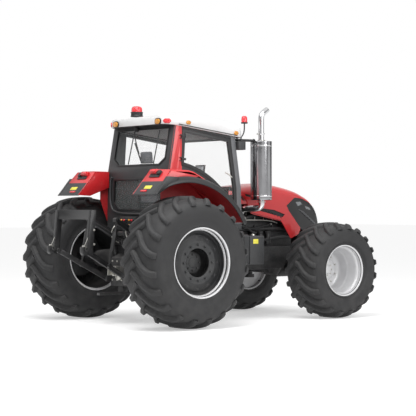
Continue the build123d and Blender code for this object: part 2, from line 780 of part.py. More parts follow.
with BuildPart() as bands:
    for _, side in SIDES:
        with BuildSketch(side_plane(side * (FENDER_X + FIT))) as arch:
            with BuildLine():
                low_front = arch_point(ARCH_R, -1209)
                high_front = arch_point(FENDER_R + 6, -1296)
                high_rear = (300, 2349)
                low_rear = (534, 2072)
                ThreePointArc(high_front, arch_point(FENDER_R + 6, -960), arch_point(FENDER_R + 6, 60))
                Polyline(arch_point(FENDER_R + 6, 60), high_rear, low_rear, arch_point(ARCH_R, 500))
                ThreePointArc(arch_point(ARCH_R, 500), arch_point(ARCH_R, -400), low_front)
                Line(low_front, high_front)
            make_face()
        extrude(arch.sketch, amount=side * (BAND_X - FENDER_X - FIT))
save(bands, "fender_bands")

# ---- in the cab ----------------------------------------------------------------------
SEAT_Y = -560.0
SEAT_UP = FLOOR_TOP + 330 + FIT
with BuildPart() as seat:
    add_block((-250, 250), (SEAT_Y - 260, SEAT_Y + 230), (SEAT_UP, SEAT_UP + 130))
    add_plate(
        [
            (SEAT_Y + 130, SEAT_UP + 130),
            (SEAT_Y + 215, SEAT_UP + 650),
            (SEAT_Y + 300, SEAT_UP + 640),
            (SEAT_Y + 230, SEAT_UP + 130),
        ],
        (-230, 230),
    )
    add_plate(
        [
            (SEAT_Y + 225, SEAT_UP + 640),
            (SEAT_Y + 245, SEAT_UP + 850),
            (SEAT_Y + 310, SEAT_UP + 840),
            (SEAT_Y + 300, SEAT_UP + 630),
        ],
        (-140, 140),
    )
save(seat, "seat")

WHEEL_AT = Vector(0, REAR_AXLE_Y - 1165, 2290)
COLUMN_DIR = Vector(0, 0.6, 0.8)
COLUMN_R = 26.0
COLUMN_LENGTH = 240.0
BOSS_AT = 195.0  # along the column, from the steering wheel to its bearing
with BuildPart() as console:
    add_plate(
        [(-1570, FLOOR_TOP), (-1560, 2150), (-1330, 2180), (-1290, 2060), (-1360, FLOOR_TOP)],
        (-170, 170),
    )
    # Bearing of the steering column.
    with BuildSketch(Plane(origin=WHEEL_AT - COLUMN_DIR * BOSS_AT, z_dir=COLUMN_DIR)) as boss:
        Circle(COLUMN_R + 14)
    extrude(boss.sketch, amount=-60)
    bore_at = BOSS_AT - 5
    with BuildSketch(Plane(origin=WHEEL_AT - COLUMN_DIR * bore_at, z_dir=COLUMN_DIR)) as bore:
        Circle(COLUMN_R + FIT)
    extrude(bore.sketch, amount=bore_at - COLUMN_LENGTH - FIT, mode=Mode.SUBTRACT)
    # Side consoles beside the seat.
    add_block((-520, -290), (-1000, -330), (FLOOR_TOP, FLOOR_TOP + 560))
    add_block((290, 480), (-700, -330), (FLOOR_TOP, FLOOR_TOP + 480))
save(console, "console")

with BuildPart() as wheel:
    rim_plane = Plane(origin=WHEEL_AT, x_dir=(1, 0, 0), z_dir=COLUMN_DIR)
    with BuildSketch(rim_plane) as hoop:
        Circle(205)
        Circle(175, mode=Mode.SUBTRACT)
        Rectangle(380, 40)
        Circle(55)
    extrude(hoop.sketch, amount=26)
    with BuildSketch(rim_plane) as column:
        Circle(COLUMN_R)
    extrude(column.sketch, amount=-COLUMN_LENGTH)
save(wheel, "steering_wheel")

# ---- hood ----------------------------------------------------------------------------
HOOD_BACK = HOOD_HINGE[0] - 25
HOOD_OUT = 600.0  # well outside the hood's sides, for cuts through both
# Stations from the rear to the nose: half width, crown.
HOOD_STATIONS = (
    (HOOD_BACK, HOOD_HALF, 2225),
    (FRONT_AXLE_Y + 705, HOOD_HALF - 5, 2285),
    (FRONT_AXLE_Y + 75, HOOD_HALF - 30, 2180),
    (FRONT_AXLE_Y - 305, HOOD_HALF - 95, 2040),
    (FRAME_FRONT, HOOD_HALF - 235, 1775),
)


def over_axle(*outline):
    """An outline whose points lie rearward of the front axle, and up."""
    return [(FRONT_AXLE_Y + y, up) for y, up in outline]


HOOD_SIDE = [
    (HOOD_BACK, 2300),
    (HOOD_BACK, 2120),
    (HOOD_BACK - 160, 1960),
    (HOOD_BACK - 197, 1773),
    (HOOD_BACK - 402, 1730),
    *over_axle((432, 1630), (213, 1332), (19, 1406), (-40, 1522), (-235, 1420), (-555, 1400)),
    *over_axle((-645, 1618), (-605, 1744), (-525, 1871), (-425, 1955), (-295, 2045), (79, 2300)),
]


def add_hood_body(inset, mode):
    sections = []
    for y, half, crown in HOOD_STATIONS:
        side_half = half - inset
        top = crown - inset
        with BuildSketch(cross_plane(y)) as section:
            with BuildLine():
                Polyline(
                    (-side_half + 90, top - 40),
                    (-side_half, top - 150),
                    (-side_half, 1290),
                    (side_half, 1290),
                    (side_half, top - 150),
                    (side_half - 90, top - 40),
                )
                ThreePointArc((side_half - 90, top - 40), (0, top), (-side_half + 90, top - 40))
            make_face()
        sections.append(section.sketch)
    loft(sections, ruled=True, mode=mode)


MASK_SIDE = [
    *over_axle((257, 1803), (315, 1902), (124, 2040), (-95, 2020), (-295, 1950), (-475, 1850)),
    *over_axle((-685, 1690), (-685, 1380), (-40, 1380), (-40, 1522), (35, 1571)),
]


def add_hood_shell():
    """The whole nose and sides, open below and behind."""
    add_hood_body(0, Mode.ADD)
    add_hood_body(HOOD_T, Mode.SUBTRACT)
    with BuildSketch(cross_plane(HOOD_STATIONS[-1][0])) as nose:
        half = HOOD_STATIONS[-1][1] - 2
        crown = HOOD_STATIONS[-1][2]
        with BuildLine():
            Polyline(
                (-half, crown - 150),
                (-half, 1290),
                (half, 1290),
                (half, crown - 150),
                (half - 90, crown - 42),
                (90 - half, crown - 42),
                close=True,
            )
        make_face()
    extrude(nose.sketch, amount=-HOOD_T)
    with BuildSketch(side_plane(-HOOD_OUT)) as outline:
        with BuildLine():
            Polyline(*HOOD_SIDE, close=True)
        make_face()
    extrude(outline.sketch, amount=2 * HOOD_OUT, mode=Mode.INTERSECT)


# Recessed vent in each side, and the bars across the mask.
VENT_SIDE = over_axle((920, 1859), (620, 1827), (359, 1750), (409, 1700), (992, 1822))
VENT_DEPTH = 22.0
SLOT_PITCH = (-76.0, -38.0)
HEADLAMP_SIDE = over_axle((95, 1960), (-35, 1975), (-65, 1925), (35, 1890))
SLOT_LEAN = 44.0
SLOT_H = 26.0
with BuildPart() as hood:
    add_hood_shell()
    add_plate(MASK_SIDE, (-HOOD_OUT, HOOD_OUT), Mode.SUBTRACT)
    for _, side in SIDES:
        add_plate(VENT_SIDE, (side * (HOOD_HALF - VENT_DEPTH), side * HOOD_OUT), Mode.SUBTRACT)
    for _, side in SIDES:
        add_block(
            (side * 186, side * 214),
            (HOOD_BACK - 20, HOOD_HINGE[0]),
            (HOOD_HINGE[1] - 10, HOOD_HINGE[1]),
        )
        add_pin((side * 200, *HOOD_HINGE), 16, 28, (1, 0, 0))
        add_pin((side * 200, *HOOD_HINGE), 8 + FIT, 40, (1, 0, 0), Mode.SUBTRACT)
save(hood, "hood")

with BuildPart() as grille:
    add_hood_shell()
    with BuildSketch(side_plane(-HOOD_OUT)) as mask:
        with BuildLine():
            Polyline(*MASK_SIDE, close=True)
        make_face()
        offset(amount=-FIT)
    extrude(mask.sketch, amount=2 * HOOD_OUT, mode=Mode.INTERSECT)
    # Slanted slots down both sides, then the lamp openings and the slots of the nose.
    for k in range(4):
        y, z = FRONT_AXLE_Y - 65 + k * SLOT_PITCH[0], 1870 + k * SLOT_PITCH[1]
        slot = [(y, z), (y - 130, z - SLOT_LEAN), (y - 130, z - SLOT_LEAN - SLOT_H), (y, z - SLOT_H)]
        add_plate([(a, b - 60 * (k % 2)) for a, b in slot], (-HOOD_OUT, HOOD_OUT), Mode.SUBTRACT)
    add_plate(HEADLAMP_SIDE, (-HOOD_OUT, HOOD_OUT), Mode.SUBTRACT)
    for up in (1440, 1490, 1540):
        add_block((-170, 170), (FRAME_FRONT - 60, FRAME_FRONT + HOOD_T + 5), (up, up + 28), Mode.SUBTRACT)
save(grille, "grille")

with BuildPart() as headlamps:
    add_hood_shell()
    with BuildSketch(side_plane(-HOOD_OUT)) as lens:
        with BuildLine():
            Polyline(*HEADLAMP_SIDE, close=True)
        make_face()
        offset(amount=-FIT)
    extrude(lens.sketch, amount=2 * HOOD_OUT, mode=Mode.INTERSECT)
save(headlamps, "headlamps")

with BuildPart() as bulkhead:
    add_block((-400, 400), (HOOD_HINGE[0] - 4, HOOD_HINGE[0] + 16), (ENGINE_TOP + FIT, 2150))
    for _, side in SIDES:
        add_block(
            (side * 216, side * 232),
            (HOOD_HINGE[0] - 14, HOOD_HINGE[0] + 14),
            (2100, HOOD_HINGE[1] + 12),
        )
        add_pin((side * 209, *HOOD_HINGE), 8, 46, (1, 0, 0))
save(bulkhead, "hood_bulkhead")

with BuildPart() as radiator:
    add_block((-ENGINE_HALF, ENGINE_HALF), RADIATOR_Y, (RAIL_TOP + FIT, 1880))
    for _, side in SIDES:
        # Feet on the rails.
        foot = (side * (ENGINE_HALF - 1), side * (ENGINE_HALF + RAIL_T))
        add_block(foot, RADIATOR_Y, (RAIL_TOP + FIT, RAIL_TOP + 40))
save(radiator, "radiator")

# ---- exhaust -------------------------------------------------------------------------
# A shield, open at the top, round the can, whose cone carries the tailpipe.
SHIELD_T = 8.0
SHIELD_FLOOR = 20.0
CAN_R = 135.0
CONE_H = 60.0
ELBOW_R = 55.0
ELBOW_FLANGE = (-1960.0, 1720.0)  # on the engine's side, rearward and up
with BuildPart() as muffler:
    length = MUFFLER_HIGH - MUFFLER_LOW
    can_low = MUFFLER_LOW + SHIELD_FLOOR
    can_high = MUFFLER_HIGH - CONE_H
    add_pin((*MUFFLER, MUFFLER_LOW + length / 2), MUFFLER_R, length, (0, 0, 1))
    hollow = (*MUFFLER, can_low + length / 2)
    add_pin(hollow, MUFFLER_R - SHIELD_T, length, (0, 0, 1), Mode.SUBTRACT)
    add_pin((*MUFFLER, (can_low + can_high) / 2 - 1), CAN_R, can_high - can_low + 2, (0, 0, 1))
    with Locations((MUFFLER[0], REAR_AXLE_Y + MUFFLER[1], MUFFLER_HIGH - CONE_H / 2)):
        Cone(CAN_R, PIPE_R + 12, CONE_H)
save(muffler, "muffler")

with BuildPart() as tailpipe:
    x, y = MUFFLER
    add_tube([(x, y, MUFFLER_HIGH + FIT), (x, y, PIPE_TOP - 85), (x, y - 130, PIPE_TOP)], PIPE_R, 90)
    # Clamp ring.
    add_pin((x, y, MUFFLER_HIGH + 120), PIPE_R + 8, 50, (0, 0, 1))
save(tailpipe, "tailpipe")

with BuildPart() as elbow:
    engine_side = -(ENGINE_HALF + 2 * FIT)
    add_tube(
        [
            (x, y, MUFFLER_LOW - FIT),
            (x, y, 1900),
            (x + 45, y + 25, 1850),
            (-460, -1968, 1850),
            (-405, -1960, 1810),
            (-400, -1960, 1760),
            (-375, *ELBOW_FLANGE),
            (engine_side, *ELBOW_FLANGE),
        ],
        ELBOW_R,
    )
save(elbow, "exhaust_elbow")

# ---- rear linkage --------------------------------------------------------------------
LINK_END = (LINK_PIVOT[0] + LINK_RUN[0], LINK_PIVOT[1] + LINK_RUN[1])
ROD_LOW = (LINK_PIVOT[0] + ARM_SHARE * LINK_RUN[0], LINK_PIVOT[1] + ARM_SHARE * LINK_RUN[1])
ARM_END = (ARM_PIVOT[0] + ARM_SHARE * LINK_RUN[0], ARM_PIVOT[1] + ARM_SHARE * LINK_RUN[1])
TOP_PIVOT = (LINK_PIVOT[0] - 120, LINK_PIVOT[1] + TOP_PIN_UP)
TOP_END = (TOP_PIVOT[0] + LINK_RUN[0], TOP_PIVOT[1] + LINK_RUN[1])
LINK_SLOPE = LINK_RUN[1] / LINK_RUN[0]
LINK_MID_X = LINK_X_FRONT + ARM_SHARE * (LINK_X_REAR - LINK_X_FRONT)
EYE_R = 44.0
ROD_X = 400.0

with BuildPart() as links:
    for _, side in SIDES:
        start = Vector(side * LINK_X_FRONT, REAR_AXLE_Y + LINK_PIVOT[0], LINK_PIVOT[1])
        end = Vector(side * LINK_X_REAR, REAR_AXLE_Y + LINK_END[0], LINK_END[1])
        along = (end - start).normalized()
        with BuildSketch(Plane(origin=start + along * 34, x_dir=(1, 0, 0), z_dir=along)):
            Rectangle(44, 76)
        extrude(amount=(end - start).length - 68)
        add_pin((side * LINK_X_FRONT, *LINK_PIVOT), EYE_R, 48, (1, 0, 0))
        add_pin((side * LINK_X_REAR, *LINK_END), EYE_R, 48, (1, 0, 0))
        add_pin((side * LINK_X_FRONT, *LINK_PIVOT), PIN_R + FIT, 60, (1, 0, 0), Mode.SUBTRACT)
        add_pin((side * LINK_X_REAR, *LINK_END), PIN_R + FIT, 60, (1, 0, 0), Mode.SUBTRACT)
        # Pin of the lift rod on the outer side.
        add_pin((side * (LINK_MID_X + ROD_X + 22) / 2, *ROD_LOW), PIN_R, ROD_X + 22 - LINK_MID_X, (1, 0, 0))
save(links, "lower_links")

with BuildPart() as arms:
    add_pin((0, *ARM_PIVOT), SHAFT_LIFT_R, 2 * (ROD_X - 24), (1, 0, 0))
    for _, side in SIDES:
        inner_x = side * (ROD_X - 70)
        dy, dz = ARM_END[0] - ARM_PIVOT[0], ARM_END[1] - ARM_PIVOT[1]
        length = sqrt(dy**2 + dz**2)
        ny, nz = -dz / length, dy / length
        add_plate(
            [
                (ARM_PIVOT[0] + 62 * ny, ARM_PIVOT[1] + 62 * nz),
                (ARM_PIVOT[0] - 62 * ny, ARM_PIVOT[1] - 62 * nz),
                (ARM_END[0] - 36 * ny, ARM_END[1] - 36 * nz),
                (ARM_END[0] + 36 * ny, ARM_END[1] + 36 * nz),
            ],
            (inner_x, side * (ROD_X - 24)),
        )
        add_pin((side * (ROD_X - 47), *ARM_PIVOT), 62, 46, (1, 0, 0))
        add_pin((side * (ROD_X - 47), *ARM_END), 36, 46, (1, 0, 0))
        add_pin((side * (ROD_X - 1), *ARM_END), PIN_R, 46, (1, 0, 0))
save(arms, "lift_arms")

with BuildPart() as rods:
    for _, side in SIDES:
        start = Vector(side * ROD_X, REAR_AXLE_Y + ARM_END[0], ARM_END[1])
        end = Vector(side * ROD_X, REAR_AXLE_Y + ROD_LOW[0], ROD_LOW[1])
        along = (end - start).normalized()
        with BuildSketch(Plane(origin=start + along * 30, x_dir=(1, 0, 0), z_dir=along)):
            RegularPolygon(20, 8)
        extrude(amount=(end - start).length - 60)
        with BuildSketch(Plane(origin=start + along * 200, x_dir=(1, 0, 0), z_dir=along)):
            RegularPolygon(33, 6)
        extrude(amount=300)
        for pin, slack in ((ARM_END, FIT), (ROD_LOW, 1.5)):
            add_pin((side * ROD_X, *pin), 38, 36, (1, 0, 0))
            add_pin((side * ROD_X, *pin), PIN_R + slack, 50, (1, 0, 0), Mode.SUBTRACT)
save(rods, "lift_rods")

with BuildPart() as top_link:
    start = Vector(0, REAR_AXLE_Y + TOP_PIVOT[0], TOP_PIVOT[1])
    end = Vector(0, REAR_AXLE_Y + TOP_END[0], TOP_END[1])
    along = (end - start).normalized()
    with BuildSketch(Plane(origin=start + along * 30, x_dir=(1, 0, 0), z_dir=along)):
        RegularPolygon(20, 8)
    extrude(amount=(end - start).length - 60)
    with BuildSketch(Plane(origin=start + along * 250, x_dir=(1, 0, 0), z_dir=along)):
        RegularPolygon(31, 8)
    extrude(amount=460)
    for pin, slack in ((TOP_PIVOT, FIT), (TOP_END, 1.5)):
        add_pin((0, *pin), 38, 50, (1, 0, 0))
        add_pin((0, *pin), PIN_R + slack, 60, (1, 0, 0), Mode.SUBTRACT)
save(top_link, "top_link")

HOOK = (LINK_END[0] + 88, LINK_END[1] + 36)
HOOK_R = 19.0
FRAME_X = (440.0, 512.0)
with BuildPart() as hitch:
    top = TOP_END[1] + 62
    back = TOP_END[0] + 40
    for _, side in SIDES:
        walls = (side * FRAME_X[0], side * FRAME_X[1])
        add_plate(
            [
                (LINK_END[0] - 40, LINK_END[1] - 50),
                (HOOK[0] + 44, LINK_END[1] - 50),
                (HOOK[0] + 70, HOOK[1] - 50),
                (HOOK[0] + 70, HOOK[1] + 44),
                (HOOK[0] - 36, HOOK[1] + 44),
                (back + 76, top),
                (back - 20, top),
                (LINK_END[0] - 40, LINK_END[1] + 50),
            ],
            walls,
        )
        slot_x = (side * (FRAME_X[0] - 5), side * (FRAME_X[1] + 5))
        add_block(slot_x, (HOOK[0] - HOOK_R, HOOK[0] + HOOK_R), (HOOK[1], HOOK[1] + 90), Mode.SUBTRACT)
        add_pin((side * sum(FRAME_X) / 2, *HOOK), HOOK_R, 100, (1, 0, 0), Mode.SUBTRACT)
        add_pin((side * (FRAME_X[0] - 31), *LINK_END), PIN_R, 66, (1, 0, 0))
        add_plate(
            [
                (TOP_END[0] - 40, TOP_END[1] - 40),
                (back + 10, TOP_END[1] - 60),
                (back + 10, TOP_END[1] + 40),
                (TOP_END[0] - 40, TOP_END[1] + 40),
            ],
            (side * 26, side * 46),
        )
    add_block((-FRAME_X[0], FRAME_X[0]), (back, back + 66), (top - 150, top))
    add_pin((0, *TOP_END), PIN_R, 60, (1, 0, 0))
save(hitch, "quick_hitch")

DRAWBAR_PIN = (600.0, 33.0)
with BuildPart() as drawbar:
    add_block((-45, 45), (-300, 655), (468, 508))
    add_block((-70, 70), (-250, -140), (508, TRANS_BOTTOM - FIT))
    add_block((-70, 70), (130, 230), (508, TRANS_BOTTOM - FIT))
    add_pin((0, DRAWBAR_PIN[0], 488), DRAWBAR_PIN[1] / 2, 60, (0, 0, 1), Mode.SUBTRACT)
save(drawbar, "drawbar")

PTO_UP = 790.0
PTO_R = 22.2
PTO_FLANGE = (250 + FIT, 276)
PTO_LENGTH = 100.0
PTO_SHIELD = [
    (-120, 775),
    (-120, 925),
    (120, 925),
    (120, 775),
    (108, 775),
    (108, 913),
    (-108, 913),
    (-108, 775),
]
with BuildPart() as pto:
    add_pin((0, sum(PTO_FLANGE) / 2, PTO_UP), 92, PTO_FLANGE[1] - PTO_FLANGE[0], (0, 1, 0))
    add_pin((0, PTO_FLANGE[1] + PTO_LENGTH / 2 - 5, PTO_UP), PTO_R, PTO_LENGTH + 10, (0, 1, 0))
    add_cross(PTO_SHIELD, (PTO_FLANGE[0], 400))
save(pto, "pto_shaft")

with BuildPart() as valves:
    add_block((-220, 220), (-80, -2), (TRANS_TOP + FIT, 1720))
    add_block((-220, 220), (-3, 90), (1530, 1720))
    # Couplers.
    with BuildSketch(cross_plane(88)) as couplers:
        with Locations((0, 1625)):
            with GridLocations(70, 80, 6, 2):
                RegularPolygon(19, 6)
    extrude(couplers.sketch, amount=-40)
save(valves, "remote_valves")

# ---- tanks, steps, lamps -------------------------------------------------------------
TANK_X = 900.0
TANK_Y = (-2060.0, -1100.0)
TANK_Z = (925.0, 1425.0)
TANK_BEVEL = 35.0
BATTERY_END = -1748.0  # the right tank starts behind the battery box
BATTERY_TOP = 1398.0
RAIL_X = ENGINE_HALF + RAIL_T + FIT
with BuildPart() as battery_box:
    add_block((-TANK_X, -RAIL_X), (TANK_Y[0], BATTERY_END), (TANK_Z[0], BATTERY_TOP))
save(battery_box, "battery_box")
for name, side in SIDES:
    front = BATTERY_END + 6 if side < 0 else TANK_Y[0]
    with BuildPart() as tank:
        add_block((side * RAIL_X, side * TANK_X), (front, TANK_Y[1]), TANK_Z)
        outside = tank.edges().filter_by(Axis.Y).sort_by(lambda edge: side * edge.center().X)[-2:]
        chamfer(outside, TANK_BEVEL)
        # The arm that carries it from the transmission.
        add_block((side * (TRANS_HALF + FIT), side * (RAIL_X + 1)), (-1560, -1440), (980, 1200))
    save(tank, f"tank_{name}")
STEP_UPS = (520, 800, 1080)
STEP_Y = (-1600.0, -1190.0)
STEP_T = 25.0
STEP_SIDE_T = 10.0
with BuildPart() as steps:
    for up in STEP_UPS:
        add_block((TANK_X + 30, TANK_X + 210), STEP_Y, (up, up + STEP_T))
    for y in (STEP_Y[0], STEP_Y[1] - STEP_SIDE_T):
        add_block((TANK_X + FIT, TANK_X + 180), (y, y + STEP_SIDE_T), (STEP_UPS[0] - 20, STEP_UPS[-1] + 50))
save(steps, "steps")

ROOF_LAMP = (136.0, 84.0)
ROOF_LAMP_UP = 3243.0
with BuildPart() as roof_lamps:
    with BuildSketch(cross_plane(ROOF_REAR + FIT)) as lenses:
        with Locations((-585, ROOF_LAMP_UP), (585, ROOF_LAMP_UP)):
            Rectangle(*ROOF_LAMP)
        chamfer(lenses.vertices(), 30)
    extrude(lenses.sketch, amount=-24)
    # Lamps on the roof's flanks.
    for _, side in SIDES:
        for y, up in ((-482, 3226), (-1473, 3089)):
            with BuildSketch(side_plane(side * (ROOF_HALF + FIT))) as lens:
                with Locations((y, up)):
                    Rectangle(96, 64)
                chamfer(lens.vertices(), 22)
            extrude(lens.sketch, amount=side * 16)
save(roof_lamps, "roof_lamps")

with BuildPart() as marker_lamps:
    for _, side in SIDES:
        # On the slanted rear corners of the roof.
        middle = (
            side * (ROOF_REAR_HALF + ROOF_CORNER_HALF) / 2,
            REAR_AXLE_Y + (ROOF_REAR + ROOF_CORNER) / 2,
            ROOF_LAMP_UP + 4,
        )
        across = Vector(side * (ROOF_CORNER_HALF - ROOF_REAR_HALF), ROOF_CORNER - ROOF_REAR, 0).normalized()
        outward = Vector(-side * across.Y, side * across.X, 0)
        face = Plane(origin=Vector(*middle) + outward * FIT, x_dir=across, z_dir=outward)
        with BuildSketch(face) as lens:
            Rectangle(ROOF_LAMP[0], ROOF_LAMP[1] - 8)
            chamfer(lens.vertices(), 28)
        extrude(lens.sketch, amount=24)
save(marker_lamps, "marker_lamps")

BEACON_AT = (450.0, -420.0)
BEACON_FOOT_UP = 3376.0  # the roof's top there
BEACON_BASE = (105.0, 80.0)  # radius and height
BEACON_LENS = (92.0, 100.0)
WORK_LAMP_X = (765.0, 905.0)
WORK_LAMP_Y = (-1640.0, -1504.5)
WORK_LAMP_Z = (2815.0, 2955.0)
# The second beacon stands on a stalk from the right work lamp.
STALK_R = 11.0
STALK_AT = (-870.0, -1575.0)
STALK_BACK = -76.0
STALK_UP = 3250.0
SMALL_BASE = (56.0, 24.0)
SMALL_LENS = (50.0, 110.0)
with BuildPart() as beacon:
    base_mid = BEACON_FOOT_UP + FIT + BEACON_BASE[1] / 2
    add_pin((*BEACON_AT, base_mid), *BEACON_BASE, (0, 0, 1))
    add_pin((*BEACON_AT, BEACON_FOOT_UP + BEACON_BASE[1] + BEACON_LENS[1] / 2), *BEACON_LENS, (0, 0, 1))
    x, y = STALK_AT
    z = WORK_LAMP_Z[1] + FIT
    back = y + STALK_BACK
    add_tube([(x, y, z), (x, y, z + 60), (x, back, z + 150), (x, back, STALK_UP)], STALK_R)
    add_pin((x, back, STALK_UP + SMALL_BASE[1] / 2), *SMALL_BASE, (0, 0, 1))
    lens_mid = STALK_UP + SMALL_BASE[1] - 2 + SMALL_LENS[1] / 2
    add_pin((x, back, lens_mid), *SMALL_LENS, (0, 0, 1))
save(beacon, "beacon")

with BuildPart() as work_lamps:
    for _, side in SIDES:
        add_block((side * WORK_LAMP_X[0], side * WORK_LAMP_X[1]), WORK_LAMP_Y, WORK_LAMP_Z)
save(work_lamps, "work_lamps")


with BuildPart() as arm:
    add_tube([(-790, -1482, 2980), (-790, -1940.3, 2980)], 22)
save(arm, "muffler_stay")
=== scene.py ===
"""The look of a farm tractor: paint, rubber, chrome and glass, and the shaped pieces that carry them.

Metres, +Z up, the front at -Y and the left side at +X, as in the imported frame. Distances along
the machine are measured rearward from the rear axle, and at() turns them into the frame's own.
"""

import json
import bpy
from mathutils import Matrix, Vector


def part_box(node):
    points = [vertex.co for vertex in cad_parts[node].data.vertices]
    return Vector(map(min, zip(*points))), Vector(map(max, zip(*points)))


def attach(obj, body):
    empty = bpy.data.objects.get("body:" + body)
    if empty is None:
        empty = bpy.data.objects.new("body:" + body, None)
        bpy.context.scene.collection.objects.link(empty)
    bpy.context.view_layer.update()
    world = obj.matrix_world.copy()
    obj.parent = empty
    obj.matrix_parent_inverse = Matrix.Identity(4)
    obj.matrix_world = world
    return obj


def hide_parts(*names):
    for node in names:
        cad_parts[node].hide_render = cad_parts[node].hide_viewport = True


bl_info = {
    "name": "Farm tractor",
    "version": (1, 0, 0),
    "blender": (4, 5, 0),
    "location": "View3D > Sidebar > Tractor",
    "description": "Dresses the packed tractor: tyres, rims, fenders, hood, cab, exhaust and linkage",
    "category": "Object",
}

from math import atan2, copysign, cos, pi, radians, sin, sqrt

import bmesh
import bpy
from mathutils import Matrix, Vector

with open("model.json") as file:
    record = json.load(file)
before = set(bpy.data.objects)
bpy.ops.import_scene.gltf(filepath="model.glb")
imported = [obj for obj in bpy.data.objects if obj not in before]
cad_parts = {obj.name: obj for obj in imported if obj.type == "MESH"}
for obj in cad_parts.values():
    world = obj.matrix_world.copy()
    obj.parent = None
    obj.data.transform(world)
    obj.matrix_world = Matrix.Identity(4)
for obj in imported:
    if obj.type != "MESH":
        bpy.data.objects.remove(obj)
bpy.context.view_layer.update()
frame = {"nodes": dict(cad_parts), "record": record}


def middle(node):
    """The centre of a node's box."""
    low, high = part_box(node)
    return (Vector(low) + Vector(high)) / 2


SIDES = (("left", 1), ("right", -1))
REAR_Y = middle("rim_rear_left").y


def at(x, y, z):
    """A point left of the middle, rearward of the rear axle and above the ground."""
    return Vector((x, REAR_Y + y, z))


def run(side, *points):
    """Points (left, rearward, up), mirrored where side is -1."""
    return [at(side * x, y, z) for x, y, z in points]


def flat(y, side=1):
    """Places (left, up) points on an upright plane at a station."""
    return lambda point: at(side * point[0], y, point[1])


# Steps round or along the main skins.
TYRE_STEPS = 120
RIM_STEPS = 128
HUB_STEPS = 72
LUG_STEPS = 22
HOOD_STEPS = 72
ROOF_STEPS = 46
SMOOTH_PAST = 8  # degrees past the rounded corners that still shade as one surface
MERGE = 1e-5  # vertices nearer than this are one
FLOOR_REACH = 90.0
CAMERA_AT = at(-18.667, 13.286, 1.887)
CAMERA_AIM = at(-0.349, -1.3, 1.86)
CAMERA_LENS = 121.95


# ---- sizes and colours -----------------------------------------------------------------


def length(name, default, description):
    return bpy.props.FloatProperty(
        name=name, default=default, min=0.0, unit="LENGTH", subtype="DISTANCE", description=description
    )


def colour(name, default, description):
    return bpy.props.FloatVectorProperty(
        name=name, default=default, size=3, min=0.0, max=1.0, subtype="COLOR", description=description
    )


class TractorSizes(bpy.types.PropertyGroup):
    """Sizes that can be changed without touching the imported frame."""

    rear_lugs: bpy.props.IntProperty(name="Rear lugs", default=20, min=8, description="Lugs on each side")
    front_lugs: bpy.props.IntProperty(name="Front lugs", default=20, min=8, description="Lugs on each side")
    lug_width: length("Lug width", 0.062, "Width of a rear tyre's lug at its top")
    bolts: bpy.props.IntProperty(name="Wheel bolts", default=12, min=4, description="Bolts of a wheel centre")
    skin: length("Skin", 0.012, "Thickness of the fender and hood skins")
    hose: length("Hose", 0.011, "Radius of a hydraulic hose")


class TractorColours(bpy.types.PropertyGroup):
    """Paint, plastic and rubber colours."""

    red: colour("Red", (0.56, 0.013, 0.017), "Body paint")
    roof: colour("Roof", (0.72, 0.72, 0.72), "Cab roof")
    grey: colour("Grey", (0.033, 0.034, 0.036), "Moulded panels and frames")
    black: colour("Black", (0.012, 0.012, 0.013), "Trim")
    silver: colour("Silver", (0.7, 0.7, 0.71), "Rims")
    rubber: colour("Rubber", (0.02, 0.02, 0.021), "Tyres")
    casting: colour("Casting", (0.012, 0.012, 0.013), "Castings and linkage")
    amber: colour("Amber", (0.62, 0.25, 0.012), "Indicator lenses")
    yellow: colour("Yellow", (0.8, 0.72, 0.08), "Blank plates")


def sizes():
    return bpy.context.scene.tractor_sizes


def colours():
    return bpy.context.scene.tractor_colours


# ---- shader building -------------------------------------------------------------------


class Nodes:
    """Short calls to add and join the nodes of one tree."""

    def __init__(self, tree):
        self.tree = tree

    def add(self, kind, inputs=(), **settings):
        node = self.tree.nodes.new(kind)
        for key, value in settings.items():
            setattr(node, key, value)
        for key, value in dict(inputs).items():
            if isinstance(value, bpy.types.NodeSocket):
                self.tree.links.new(value, node.inputs[key])
            else:
                node.inputs[key].default_value = value
        return node

    def math(self, operation, first, second=0.0):
        node = self.add("ShaderNodeMath", {0: first, 1: second}, operation=operation)
        return node.outputs[0]

    def mix(self, factor, first, second):
        node = self.add("ShaderNodeMix", {0: factor, 6: first, 7: second}, data_type="RGBA")
        return node.outputs[2]

    def spread(self, value, low, high, to_low=0.0, to_high=1.0):
        node = self.add("ShaderNodeMapRange", {0: value, 1: low, 2: high, 3: to_low, 4: to_high})
        return node.outputs[0]


def group_tree(name, inputs, outputs):
    """A shader group with named sockets, its nodes helper and its two ends."""
    tree = bpy.data.node_groups.new(name, "ShaderNodeTree")
    for label, kind, default in inputs:
        socket = tree.interface.new_socket(label, in_out="INPUT", socket_type=kind)
        socket.default_value = default
    for label, kind in outputs:
        tree.interface.new_socket(label, in_out="OUTPUT", socket_type=kind)
    nodes = Nodes(tree)
    return nodes, nodes.add("NodeGroupInput"), nodes.add("NodeGroupOutput")


